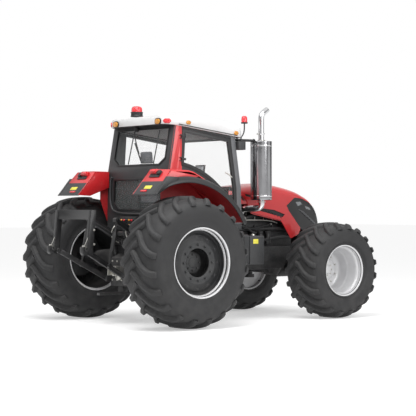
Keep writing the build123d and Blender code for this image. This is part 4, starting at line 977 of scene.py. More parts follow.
def make_fender(name, side):
    red, shade, grey = red_paint(), red_shade(), grey_plastic()
    upper = arch_run(FENDER_R + 0.004, -1.29, -0.62, 14) + [(-0.5, 2.307), (-0.3, 2.408), (-0.2, 2.444)]
    upper += [(-0.1, 2.456), (0.2, 2.459)]
    lower = arch_run(FENDER_R - 0.05, -1.24, 0.05, 18)
    # Across the skin: from the cab to the rounded outer edge.
    edge = 0.022
    skin = Shape()
    rings = []
    top = through([Vector(p) for p in upper], 40)
    for p in top:
        flare = 0.03 * max(0.0, min(1.0, (p.x + 0.2) / 0.4))
        outer = FENDER_OUT - flare
        rings.append(
            run(
                side, (FENDER_IN, p.x, p.y + 0.012), (FENDER_IN + 0.2, p.x, p.y + 0.009),
                (outer - 0.1, p.x, p.y + 0.002), (outer - edge, p.x, p.y - 0.004), (outer, p.x, p.y - 0.03),
                (outer - 0.012, p.x, p.y - 0.034), (outer - edge - 0.008, p.x, p.y - 0.02),
                (FENDER_IN, p.x, p.y - 0.010),
            )
        )
    skin.rings(rings, red)
    # The rear box behind the cab: inner wall, outer wall and the top's end.
    inner_x = 0.765
    box = [(-0.08, 2.448), (0.2, 2.459), (0.33, 2.31), (0.54, 2.072), (0.3, 2.06), (-0.08, 2.2)]
    skin.prism(box, (side * inner_x, side * (inner_x + 0.014)), red)
    skin.prism(
        [(-0.08, 2.436), (-0.08, 2.456), (0.205, 2.467), (0.205, 2.447)], (side * inner_x, side * 0.9), red
    )
    outer_wall = [(-0.35, 2.36), (0.2, 2.44), (0.33, 2.3), (-0.2, 2.32)]
    skin.prism(outer_wall, (side * (FENDER_OUT - 0.012), side * FENDER_OUT), red)
    # Rear face: its upper half red, its lower half grey.
    face = [
        [(inner_x, 0.2, 2.462), (1.298, 0.2, 2.462)],
        [(inner_x, 0.358, 2.275), (1.345, 0.358, 2.275)],
        [(inner_x, 0.536, 2.072), (1.402, 0.536, 2.072)],
    ]
    for (high, low), finish in ((face[:2], red), (face[1:], grey)):
        panel = [at(side * x, y, z) for x, y, z in (high[0], high[1], low[1], low[0])]
        skin.rings([panel, [point - REAR_LEAN * 0.016 for point in panel]], finish)
    skin.piece(f"fender_{name}_skin", "chassis", "red_paint", [f"fender_{name}"], bevel=0.006)
    # The underside and the wall between wheel and cab, in a darker copy of the red paint: a painted shade.
    under = Shape()
    rings = []
    for y, z in lower:
        ring = [
            (FENDER_IN, z + 0.012), (FENDER_OUT + 0.04, z + 0.012), (FENDER_OUT + 0.04, z), (FENDER_IN, z)
        ]
        rings.append([at(side * x, y, up) for x, up in ring])
    under.rings(rings, shade)
    back = [(0.05, 2.29), (0.3, 2.215), (0.5, 2.09), (0.5, 2.075), (0.3, 2.195), (0.05, 2.275)]
    under.prism(back, (side * FENDER_IN, side * (FENDER_OUT + 0.04)), shade)
    wall = [(-1.24, 1.62), (-1.24, 1.7), *lower, (0.05, 2.0), (-0.1, 1.62)]
    under.prism(wall, (side * (FENDER_IN - 0.0015), side * (FENDER_IN + 0.006)), shade)
    under.piece(f"fender_{name}_underside", "chassis", "red_paint", bevel=0.003)


def make_band(side):
    """The grey edging: a lip along the arch that widens into the lower rear corner."""
    grey = band_grey()
    steps = 34
    lip = arch_run(ARCH_R, -1.209, 0.5, steps)
    crest = arch_run(FENDER_R + 0.006, -1.296, 0.1, steps)
    rings = []
    for (y0, z0), (y1, z1) in zip(lip, crest):
        mid_y, mid_z = (y0 + y1) / 2, (z0 + z1) / 2
        rings.append(
            run(
                side, (FENDER_OUT - 0.02, y1, z1 - 0.004), (FENDER_OUT + 0.016, y1, z1 - 0.002),
                (BAND_OUT - 0.022, mid_y * 0.35 + y1 * 0.65, mid_z * 0.35 + z1 * 0.65),
                (BAND_OUT - 0.002, mid_y, mid_z), (BAND_OUT, y0, z0 + 0.006), (BAND_OUT - 0.008, y0, z0),
                (BAND_OUT - 0.024, y0, z0 + 0.01), (FENDER_OUT - 0.02, y1, z1 - 0.03),
            )
        )
    band = Shape()
    band.rings(rings, grey)
    corner = [(0.08, 2.338), (0.3, 2.349), (0.35, 2.29), (0.536, 2.072), (0.5, 2.072), (0.3, 2.18)]
    band.prism(corner, (side * (FENDER_OUT - 0.01), side * (BAND_OUT - 0.01)), grey)
    return band


def make_bands():
    whole = Shape()
    for _, side in SIDES:
        whole.take(make_band(side))
    whole.piece("fender_edging", "chassis", "grey_plastic", ["fender_bands"], bevel=0.004)


def on_rear_face(side, x, down):
    """A point on the fender's sloping rear face, down its slope from the top edge."""
    return at(side * x, 0.202, 2.464) + REAR_SLOPE * down


def make_fender_lamps(name, side):
    """The recessed tail lamp, its dark bracket, the small reflector and a blank plate."""
    shape = Shape()

    def slab(x0, x1, d0, d1, thick, finish, out=0.0):
        corners = [(x0, d0), (x1, d0), (x1, d1), (x0, d1)]
        corners = [on_rear_face(side, x, d) + REAR_LEAN * out for x, d in corners]
        shape.rings([corners, [corner + REAR_LEAN * thick for corner in corners]], finish)

    slab(0.89, 1.15, 0.05, 0.165, 0.01, black_plastic())
    slab(0.885, 1.06, 0.035, 0.105, 0.05, red_paint())
    slab(0.905, 1.04, 0.048, 0.092, 0.012, red_lens(), 0.05)
    slab(1.075, 1.14, 0.048, 0.12, 0.04, black_plastic())
    slab(0.955, 1.135, 0.335, 0.4, 0.003, yellow_plate())
    # The reflector takes the red lens finish, so it glows faintly though it is no lamp: a painted glow.
    slab(0.93, 1.08, 0.432, 0.462, 0.016, red_lens())
    shape.piece(f"fender_{name}_lamp", "chassis", "red_lens", bevel=0.004)


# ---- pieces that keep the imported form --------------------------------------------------

BODY_OF = {node: body for body, nodes in frame["record"]["behaviour"]["bodies"].items() for node in nodes}


def softened(node, slot, finishes, bevel=0.004, rounds=2, paint=None, cuts=()):
    """A node's own form with its corners rounded; paint picks a finish by a face's place and normal."""
    work = bmesh.new()
    work.from_mesh(frame["nodes"][node].data)
    bmesh.ops.remove_doubles(work, verts=work.verts, dist=2 * MERGE)
    bmesh.ops.dissolve_limit(work, angle_limit=radians(1.5), verts=work.verts, edges=work.edges)
    bmesh.ops.recalc_face_normals(work, faces=work.faces)
    for point, normal in cuts:
        parts = [*work.verts, *work.edges, *work.faces]
        bmesh.ops.bisect_plane(work, geom=parts, dist=1e-4, plane_co=point, plane_no=Vector(normal))
    mesh = bpy.data.meshes.new(f"{node}_skin")
    for finish in finishes:
        mesh.materials.append(finish)
    for face in work.faces:
        face.material_index = paint(face.calc_center_median(), face.normal) if paint else 0
    work.to_mesh(mesh)
    work.free()
    piece = add_object(mesh.name, mesh)
    round_edges(piece, bevel, 30, rounds)
    place(piece, BODY_OF[node], slot, [node])


def dressed(node, material):
    """A node shown as packed, with its own slots given a new finish."""
    for entry in frame["nodes"][node].material_slots:
        entry.material = material


# ---- hood ------------------------------------------------------------------------------

# Stations from the rear to the nose: rearward, half width, crown.
HOOD_TABLE = (
    (-1.900, 0.474, 2.224),
    (-2.230, 0.473, 2.262),
    (-2.560, 0.469, 2.284),
    (-2.880, 0.458, 2.244),
    (-3.190, 0.444, 2.178),
    (-3.400, 0.411, 2.110),
    (-3.560, 0.384, 2.038),
    (-3.690, 0.348, 1.950),
    (-3.790, 0.307, 1.862),
    (-3.860, 0.268, 1.752),
    (-3.898, 0.240, 1.640),
)
HOOD_LOW = (
    (-1.9, 2.12), (-2.06, 1.96), (-2.097, 1.773), (-2.302, 1.73), (-2.833, 1.63), (-3.052, 1.332),
    (-3.246, 1.406), (-3.305, 1.5), (-3.5, 1.42), (-3.82, 1.4), (-3.898, 1.59),
)
MASK = [
    (-3.008, 1.803), (-2.95, 1.902), (-3.141, 2.04), (-3.36, 2.02), (-3.56, 1.95), (-3.74, 1.85),
    (-3.96, 1.69), (-3.96, 1.38), (-3.29, 1.38), (-3.29, 1.522), (-3.23, 1.571),
]
SIDE_VENT = [(-2.345, 1.859), (-2.645, 1.827), (-2.906, 1.75), (-2.856, 1.7), (-2.273, 1.822)]
REAR_VENT = [(-2.0, 2.1), (-2.14, 2.075), (-2.12, 2.04), (-2.01, 2.058)]
HEADLAMP = [(-3.17, 1.962), (-3.3, 1.972), (-3.345, 1.925), (-3.23, 1.89)]
LOWER_LAMP = [(-3.42, 1.9), (-3.56, 1.865), (-3.59, 1.82), (-3.45, 1.845)]
REACH = 0.25  # how far round an outline a skin is cut


def along_rows(rows, y):
    """Values beside a falling first column, by straight runs."""
    for a, b in zip(rows, rows[1:]):
        if b[0] <= y <= a[0]:
            t = (y - a[0]) / (b[0] - a[0])
            return [p + (q - p) * t for p, q in zip(a, b)][1:]
    return list((rows[0] if y > rows[0][0] else rows[-1])[1:])


def hood_side(row):
    """Half a cross-section, from the crown down the side to the lower edge."""
    y, half, crown = row
    low = along_rows(HOOD_LOW, y)[0]
    arc = [
        (0.0, 0.0), (0.3, 0.003), (0.55, 0.011), (0.72, 0.024), (0.84, 0.044), (0.93, 0.076), (0.98, 0.112)
    ]
    points = [(half * share, crown - drop) for share, drop in arc]
    points.append((half, crown - 0.15))
    start = crown - 0.15
    for share in (0.2, 0.42, 0.66, 0.86, 1.0):
        points.append((half + 0.003 * sin(share * pi), start + (min(low, start - 0.01) - start) * share))
    return [(x, y, z) for x, z in points]


def in_outline(y, z, outline):
    """Whether a (rearward, up) point lies in an outline."""
    inside = False
    for (y0, z0), (y1, z1) in zip(outline, outline[1:] + outline[:1]):
        if (z0 > z) != (z1 > z) and y < (y1 - y0) * (z - z0) / (z1 - z0) + y0:
            inside = not inside
    return inside


def region(work, outline, index, shift):
    """Cuts an outline seen from the side into a skin, gives it a finish and moves its inner part out."""
    for (y0, z0), (y1, z1) in zip(outline, outline[1:] + outline[:1]):
        near = []
        for face in work.faces:
            spot = face.calc_center_median()
            beside = min(y0, y1) - REACH < spot.y - REAR_Y < max(y0, y1) + REACH
            if beside and min(z0, z1) - REACH < spot.z < max(z0, z1) + REACH and abs(spot.x) > 0.05:
                near.append(face)
        parts = list({edge for face in near for edge in face.edges} | set(near))
        parts += list({vert for face in near for vert in face.verts})
        normal = Vector((0, z1 - z0, y0 - y1)).normalized()
        bmesh.ops.bisect_plane(work, geom=parts, dist=2e-4, plane_co=at(0, y0, z0), plane_no=normal)
    chosen = []
    for face in work.faces:
        spot = face.calc_center_median()
        if in_outline(spot.y - REAR_Y, spot.z, outline) and abs(spot.x) > 0.05:
            chosen.append(face)
    for face in chosen:
        face.material_index = index
    if shift:
        edge = bmesh.ops.inset_region(work, faces=chosen, thickness=0.004, use_even_offset=True)
        for face in edge["faces"]:
            face.material_index = index
        for vert in {vert for face in chosen for vert in face.verts}:
            vert.co.x += shift * (1 if vert.co.x > 0 else -1)


def make_hood():
    """The hood's skin with its mask, slats, lamps and vents."""
    red, black, clear = red_paint(), black_plastic(), lens("headlamp_lens", (0.16, 0.17, 0.18), 60.0)
    rows = through(HOOD_TABLE, HOOD_STEPS)
    shape = Shape()
    rings = []
    for row in rows:
        half = [at(*point) for point in hood_side(tuple(row))]
        rings.append([Vector((-p.x, p.y, p.z)) for p in reversed(half[1:])] + half)
    count = len(rings[0])
    faces = [
        (i * count + k, i * count + k + 1, (i + 1) * count + k + 1, (i + 1) * count + k)
        for i in range(len(rings) - 1)
        for k in range(count - 1)
    ]
    nose = (len(rings) - 1) * count
    faces.append(tuple(range(nose, nose + count)))
    shape.add([vert for ring in rings for vert in ring], faces, red)
    mesh = bpy.data.meshes.new("hood_skin")
    mesh.from_pydata(shape.verts, [], shape.faces)
    for finish in (red, black, clear, silver_paint()):
        mesh.materials.append(finish)
    work = bmesh.new()
    work.from_mesh(mesh)
    region(work, MASK, 1, -0.005)
    region(work, SIDE_VENT, 1, -0.016)
    region(work, REAR_VENT, 1, -0.01)
    region(work, HEADLAMP, 2, 0.004)
    region(work, LOWER_LAMP, 2, 0.004)
    # The mask's slots are closed by black faces set back in the skin, standing in for the dark openings: a
    # painted shade.
    for k in range(6):
        y, z = -3.3 - 0.062 * k, 1.8 - 0.034 * k
        slot = [(y, z), (y - 0.15, z - 0.05), (y - 0.15, z - 0.068), (y, z - 0.018)]
        region(work, slot, 1, -0.014)
    for face in work.faces:
        spot = face.calc_center_median()
        if spot.y - REAR_Y < -3.893 and spot.z < 1.7:
            face.material_index = 1
    bmesh.ops.recalc_face_normals(work, faces=work.faces)
    crest = max(work.faces, key=lambda face: face.calc_center_median().z)
    if crest.normal.z < 0:
        bmesh.ops.reverse_faces(work, faces=work.faces)
    work.to_mesh(mesh)
    work.free()
    hood = add_object("hood_skin", mesh)
    wall = hood.modifiers.new("wall", "SOLIDIFY")
    wall.thickness = sizes().skin
    wall.offset = -1.0
    apply_modifiers(hood)
    hood.data.shade_smooth()
    hood.data.set_sharp_from_angle(angle=radians(34))
    place(hood, "hood", "red_paint", ["hood", "grille", "headlamps"])


def make_cowl():
    """The fixed panels between the hood's rear edge and the cab."""
    shape = Shape()
    outline = [(-1.64, 1.93), (-1.65, 2.15), (-1.885, 2.124), (-2.043, 1.964), (-2.06, 1.925)]
    for side in (1, -1):
        shape.prism(outline, (side * 0.452, side * 0.466), red_paint())
        vent = [(-1.9, 2.085), (-2.01, 1.985), (-1.96, 1.985), (-1.87, 2.07)]
        shape.prism(vent, (side * 0.4655, side * 0.4685), black_plastic())
    shape.rings(
        [
            [at(x, y, z) for x, z in ((-0.46, 2.13), (0.46, 2.13), (0.46, 2.14), (-0.46, 2.14))]
            for y in (-1.64, -1.86)
        ],
        black_plastic(),
    )
    shape.piece("cowl", "chassis", "red_paint", bevel=0.003)


def make_hood_trim():
    """Slats across the mask, the vents and the nose, and the seam along the hood."""
    trim = Shape()
    for side in (1, -1):
        # The slats across the mask are a lighter grey than the mask's black: a painted highlight.
        for k in range(7):
            y, z = -3.25 - 0.064 * k, 1.832 - 0.036 * k
            ends = [(along_rows(HOOD_TABLE, p)[0] - 0.002, p, q) for p, q in ((y, z), (y - 0.16, z - 0.052))]
            trim.tube(run(side, *ends), 0.007, pillar_grey(), 0, 8)
        for k in range(6):
            y = -2.4 - 0.075 * k
            z = 1.846 - 0.022 * k
            ends = run(side, (0.466, y, z), (0.462, y - 0.05, z - 0.055))
            trim.tube(ends, 0.006, grey_plastic(), 0, 8)
        seam = run(side, (0.4745, -2.1, 1.79), (0.471, -2.35, 1.735), (0.461, -2.82, 1.645))
        trim.tube(seam, 0.005, black_plastic(), 2, 8)
    for k in range(7):
        up = 1.43 + 0.03 * k
        trim.tube([at(-0.215, -3.902, up), at(0.215, -3.902, up)], 0.006, grey_plastic(), 0, 8)
    trim.piece("hood_trim", "hood", "black_plastic")


# ---- cab -------------------------------------------------------------------------------

REAR_TOP = (-0.236, 3.182)
FRONT_TOP = (-1.47, 3.032)
# Stations of the roof: rearward, half width, shoulder, crown.
ROOF_TABLE = (
    (-0.095, 0.700, 3.286, 3.334),
    (-0.140, 0.770, 3.294, 3.342),
    (-0.190, 0.835, 3.296, 3.348),
    (-0.400, 0.868, 3.301, 3.373),
    (-0.700, 0.870, 3.308, 3.400),
    (-1.000, 0.870, 3.275, 3.380),
    (-1.250, 0.870, 3.232, 3.335),
    (-1.540, 0.868, 3.165, 3.268),
    (-1.600, 0.835, 3.152, 3.248),
    (-1.640, 0.800, 3.142, 3.222),
)


def roof_low(y):
    """Height of the roof's lower edge at a station, by the frame it rests on."""
    slope = (REAR_TOP[1] - FRONT_TOP[1]) / (REAR_TOP[0] - FRONT_TOP[0])
    return REAR_TOP[1] + slope * (y - REAR_TOP[0]) + 0.0005


def make_roof():
    """The roof's shell with its drip edge, and the lining below it."""
    paint, dark = roof_paint(), grey_plastic()
    rings = []
    for y, half, shoulder, crown in through(ROOF_TABLE, ROOF_STEPS):
        low = roof_low(y)
        side = [
            (half - 0.04, low), (half - 0.008, low + 0.001), (half, low + 0.012), (half, shoulder - 0.02),
            (half - 0.012, shoulder + 0.016), (half - 0.045, shoulder + 0.036),
            (half - 0.12, shoulder + 0.048), (half * 0.6, crown - 0.02), (half * 0.3, crown - 0.005),
        ]
        ring = [at(x, y, z) for x, z in side] + [at(0, y, crown)] + [at(-x, y, z) for x, z in reversed(side)]
        rings.append(ring)
    finishes = [paint] * (len(rings[0]) - 1) + [dark]
    roof = Shape()
    roof.rings(rings, finishes)
    roof.piece("roof_skin", "chassis", "roof_silver", ["roof"], bevel=0.004, sharp=40)
    trim = Shape()
    # Gutter strips above the doors and two raised ribs along the top.
    for side in (1, -1):
        route = [at(side * 0.8712, y, roof_low(y) + 0.02) for y in (-0.3, -1.5)]
        trim.tube(route, 0.008, black_plastic(), 0, 8)
    for x in (-0.52, 0.52):
        route = [at(x, y, along_rows(ROOF_TABLE, y)[2] - 0.022) for y in (-0.22, -0.6, -1.0, -1.45)]
        trim.tube(route, 0.01, roof_paint(), 2, 10)
    # Front visor between the work lamps.
    visor = [(-1.585, 3.1), (-1.64, 3.06), (-1.632, 3.044), (-1.56, 3.068)]
    trim.prism(visor, (-0.7, 0.7), black_plastic())
    trim.piece("roof_trim", "chassis", "black_plastic", bevel=0.002)
    lining = Shape()
    rows = [(y, roof_low(y) - 0.03) for y in (-0.3, -0.7, -1.1, -1.42)]
    lining.rings(
        [
            [at(x, y, z + d) for x, d in ((-0.74, 0), (0.74, 0), (0.74, 0.024), (-0.74, 0.024))]
            for y, z in rows
        ],
        liner(),
    )
    lining.piece("headliner", "chassis", "grey_plastic", bevel=0.004)


def cab_paint(spot, normal):
    """Dark grey behind, red on the rear pillars, grey on the front ones, black round the doors."""
    y = spot.y - REAR_Y
    if y > -0.28 and abs(normal.x) < 0.6:
        return 0
    if 0.8 < abs(spot.x) < 0.845 and y > -0.376 and abs(normal.x) > 0.5:
        return 1
    if y < -1.385 and abs(spot.x) > 0.7:
        return 2
    return 3


def make_cab():
    black, grey = black_plastic(), grey_plastic()
    finishes = [grey, red_paint(), pillar_grey(), black]
    cuts = (
        (at(0, -1.385, 3.0), (0, 1, 0)), (at(0, -0.376, 2.5), (0, 1, 0)), (at(0.846, 0, 2.5), (1, 0, 0)),
        (at(-0.846, 0, 2.5), (1, 0, 0)),
    )
    softened("cab_frame", "grey_plastic", finishes, 0.006, paint=cab_paint, cuts=cuts)
    softened("cab_floor", "grey_plastic", [grey], 0.006)
    for name, side in SIDES:
        softened(f"door_{name}", "black_plastic", [black], 0.006)
        dressed(f"door_glass_{name}", window_glass())
    dressed("rear_windows", window_glass())
    dressed("windshield", window_glass())
    trim = Shape()
    # Dark frame at the rear corner of each side, and the seals of both rear windows.
    for side in (1, -1):
        strip = [
            (-0.096, 1.62), (-0.113, 2.48), (-0.238, 3.176), (-0.258, 3.172), (-0.138, 2.48), (-0.124, 1.62)
        ]
        trim.prism(strip, (side * 0.8402, side * 0.846), grey)
    upper = [
        (-0.7, 3.13), (0.7, 3.13), (0.7, 2.671), (0.56, 2.571), (-0.56, 2.571), (-0.7, 2.671)
    ]
    lower = [
        (-0.64, 2.312), (0.64, 2.312), (0.64, 1.957), (0.5, 1.84), (-0.5, 1.84), (-0.64, 1.957)
    ]
    for outline, grow in ((upper, 0.024), (lower, 0.03)):
        level = sum(z for _, z in outline) / len(outline)
        big = [(x + copysign(grow, x), z + copysign(grow, z - level)) for x, z in outline]
        trim.frame(
            big,
            outline,
            lambda p: at(p[0], rear_wall(p[1]) + 0.01, p[1]),
            lambda p: at(p[0], rear_wall(p[1]) - 0.03, p[1]),
            black,
        )
    # Tube frame of the lower window.
    route = [
        (-0.7, 2.37), (-0.74, 2.33), (-0.74, 1.9), (-0.56, 1.76), (0.56, 1.76), (0.74, 1.9), (0.74, 2.33),
        (0.7, 2.37),
    ]
    trim.tube([at(x, rear_wall(z) + 0.02, z) for x, z in route], 0.018, grey, 2, 12)
    # Rear wiper hanging from the roof's edge: motor, arm and blade.
    trim.lathe(solid((0, 0.045), (0.05, 0.04)), at(0.15, -0.225, 3.15), black, "Y", 1, 24)
    arm = [at(0.15, -0.17, 3.15), at(0.13, -0.15, 3.0), at(-0.02, -0.128, 2.74)]
    trim.tube(arm, 0.01, black, 2, 10)
    trim.tube([at(0.1, -0.132, 2.92), at(-0.1, -0.108, 2.62)], 0.012, black, 0, 8)
    # Guard bars behind the upper window.
    for x in (-0.35, 0.35):
        trim.tube([at(x, -0.3, 3.12), at(x, -0.175, 2.58)], 0.01, black, 0, 10)
    # Door handles.
    for side in (1, -1):
        trim.tube(
            run(side, (0.902, -1.36, 2.36), (0.912, -1.3, 2.4), (0.902, -1.22, 2.44)), 0.011, zinc(), 2, 10
        )
    trim.piece("cab_trim", "chassis", "black_plastic", bevel=0.002)


def rear_wall(z):
    """Station of the rear wall's outside at a height."""
    if z < 2.48:
        return -0.09 - 0.02 * (z - 1.6) / 0.88
    return -0.11 - 0.126 * (z - 2.48) / 0.702


def make_interior():
    black, fabric = black_plastic(), cloth()
    seat = Shape()
    cushion = [(-0.83, 1.945), (-0.84, 2.05), (-0.8, 2.085), (-0.42, 2.06), (-0.34, 2.06), (-0.33, 1.945)]
    seat.prism(cushion, (-0.235, 0.235), fabric)
    back = [(-0.43, 2.06), (-0.345, 2.56), (-0.3, 2.59), (-0.262, 2.56), (-0.33, 2.06)]
    seat.prism(back, (-0.22, 0.22), fabric)
    for x in (-0.235, 0.2):
        seat.prism([(-0.4, 2.1), (-0.34, 2.5), (-0.3, 2.5), (-0.36, 2.08)], (x, x + 0.035), fabric)
    head = [(-0.335, 2.59), (-0.318, 2.765), (-0.285, 2.785), (-0.255, 2.765), (-0.262, 2.59)]
    seat.prism(head, (-0.135, 0.135), fabric)
    piece = seat.object("seat_cushions", bevel=0.028, rounds=4)
    place(piece, "chassis", "seat_cloth", ["seat"])
    frame_shape = Shape()
    frame_shape.block(at(-0.2, -0.78, 1.62), at(0.2, -0.4, 1.72), grey_plastic())
    frame_shape.block(at(-0.22, -0.8, 1.88), at(0.22, -0.36, 1.944), black)
    for k in range(6):
        up = 1.725 + 0.026 * k
        frame_shape.block(at(-0.17, -0.74, up), at(0.17, -0.44, up + 0.016), black)
    for side in (1, -1):
        rest = [(-0.72, 2.22), (-0.4, 2.24), (-0.38, 2.2), (-0.72, 2.18)]
        frame_shape.prism(rest, (side * 0.27, side * 0.33), black)
        frame_shape.tube(run(side, (0.26, -0.4, 2.21), (0.25, -0.36, 2.05)), 0.016, black, 0, 10)
    frame_shape.piece("seat_frame", "chassis", "black_plastic", bevel=0.006)
    softened("console", "grey_plastic", [grey_plastic()], 0.018, rounds=3)
    things = Shape()
    # Monitor on its arm, levers and dash cowl.
    things.prism([(-1.02, 2.36), (-1.05, 2.56), (-1.03, 2.565), (-1.0, 2.365)], (-0.6, -0.36), black)
    things.prism(
        [(-0.999, 2.38), (-1.026, 2.545), (-1.0255, 2.546), (-0.9985, 2.381)], (-0.58, -0.38), clear_lens()
    )
    things.tube([at(-0.48, -0.9, 2.16), at(-0.48, -0.98, 2.3), at(-0.48, -1.03, 2.44)], 0.012, black, 2, 10)
    for k in range(4):
        x = -0.34 - 0.035 * k
        things.tube(
            [at(x, -0.62 - 0.05 * k, 2.15), at(x - 0.01, -0.66 - 0.05 * k, 2.27)], 0.006, zinc(), 0, 8
        )
        things.lathe(
            [(0, 0), (0.0, 0.015), (0.03, 0.016), (0.035, 0)], at(x - 0.01, -0.66 - 0.05 * k, 2.262), black,
            "Z", 1, 16,
        )
    things.prism(
        [(-1.56, 2.15), (-1.5, 2.26), (-1.36, 2.27), (-1.29, 2.2), (-1.32, 2.14)], (-0.2, 0.2), black
    )
    things.piece("cab_controls", "chassis", "black_plastic", bevel=0.004)
    make_steering_wheel()


def make_steering_wheel():
    centre = at(0, -1.165, 2.29)
    axis = Vector((0, 0.6, 0.8))
    side = Vector((1, 0, 0))
    up = axis.cross(side)
    shape = Shape()
    rings = []
    for n in range(48):
        a = 2 * pi * n / 48
        out = side * cos(a) + up * sin(a)
        middle_at = centre + out * 0.19 + axis * 0.013
        rings.append(
            [
                middle_at + (out * cos(b) + axis * sin(b)) * 0.0145
                for b in [2 * pi * k / 12 for k in range(12)]
            ]
        )
    shape.rings(rings, liner(), closed=True)
    for a in (0.5, 2.64, 4.71):
        out = side * cos(a) + up * sin(a)
        shape.tube(
            [centre + axis * 0.01 + out * 0.03, centre + axis * 0.01 + out * 0.185], 0.012, black_plastic(),
            0, 10,
        )
    shape.tube([centre + axis * 0.026, centre - axis * 0.02], 0.055, black_plastic(), 0, 28)
    shape.tube([centre - axis * 0.02, centre - axis * 0.15], 0.034, grey_plastic(), 0, 20)
    shape.tube([centre - axis * 0.15, centre - axis * 0.239], 0.0255, zinc(), 0, 20)
    shape.piece("steering_wheel_skin", "steering_wheel", "black_plastic", ["steering_wheel"], bevel=0.003)


# ---- lamps and beacons -----------------------------------------------------------------


def make_lamps():
    black = black_plastic()
    softened("roof_lamps", "amber_lens", [amber_lens()], 0.008, rounds=3)
    softened("marker_lamps", "amber_lens", [red_lens()], 0.008, rounds=3)
    softened("work_lamps", "grey_plastic", [grey_plastic()], 0.014, rounds=3)
    rims = Shape()
    for side in (1, -1):
        outer, inner = (oval(side * 0.585, 3.243, 0.168 - less, 0.112 - less) for less in (0, 0.036))
        rims.frame(outer, inner, flat(-0.0948), flat(-0.083), black)
        outer, face, inner = (
            [(low, low + 2.05), (high, low + 2.05), (high, high + 2.05), (low, high + 2.05)]
            for low, high in ((0.768, 0.902), (0.78, 0.89), (0.786, 0.884))
        )
        pane = [flat(-1.641, side)(corner) for corner in face]
        rims.rings([pane, [corner + Vector((0, -0.006, 0)) for corner in pane]], clear_lens())
        rims.frame(outer, inner, flat(-1.64, side), flat(-1.652, side), black)
        rims.tube(
            run(side, (0.83, -1.56, 2.954), (0.82, -1.53, 3.02), (0.8, -1.5, 3.05)), 0.012, black, 2, 10
        )
    rims.piece("lamp_rims", "chassis", "black_plastic", bevel=0.002)


def oval(x, z, wide, high, steps=20):
    """A rounded lamp outline, (left, up)."""
    points = []
    for n in range(steps):
        a = 2 * pi * n / steps
        cx, cz = abs(cos(a)) ** 0.75, abs(sin(a)) ** 0.75
        points.append(
            (x + wide / 2 * cx * (1 if cos(a) >= 0 else -1), z + high / 2 * cz * (1 if sin(a) >= 0 else -1))
        )
    return points


def make_beacons():
    black = black_plastic()
    shape = Shape()
    foot = at(0.45, -0.42, 3.3763)
    shape.lathe(
        solid((0, 0.104), (0.012, 0.105), (0.02, 0.1), (0.06, 0.098), (0.07, 0.104), (0.08, 0.104)),
        foot, black, "Z", 1, 48,
    )
    dome = [
        (0.08, 0), (0.08, 0.09), (0.1, 0.092), (0.13, 0.09), (0.152, 0.084), (0.168, 0.07),
        (0.177, 0.045), (0.1796, 0.0),
    ]
    shape.lathe(dome, foot, red_lens(), "Z", 1, 48)
    x, y, z = -0.87, -1.575, 2.9553
    route = [at(x, y, z), at(x, y, z + 0.06), at(x, y - 0.076, z + 0.15), at(x, y - 0.076, 3.252)]
    shape.tube(route, 0.011, black, 3, 14)
    shape.lathe(
        [(0, 0), (0, 0.016), (0.006, 0.024), (0.01, 0.018), (0.016, 0.0)], at(x, y, z), black, "Z", 1, 24
    )
    top = at(x, y - 0.076, 3.25)
    shape.lathe(solid((0, 0.05), (0.006, 0.056), (0.02, 0.056), (0.024, 0.052)), top, black, "Z", 1, 32)
    lens_profile = [
        (0.023, 0), (0.023, 0.048), (0.06, 0.05), (0.1, 0.047), (0.118, 0.038), (0.128, 0.022), (0.131, 0)
    ]
    shape.lathe(lens_profile, top, red_lens(), "Z", 1, 32)
    shape.piece("beacon_skin", "chassis", "amber_lens", ["beacon"])


# ---- exhaust ---------------------------------------------------------------------------


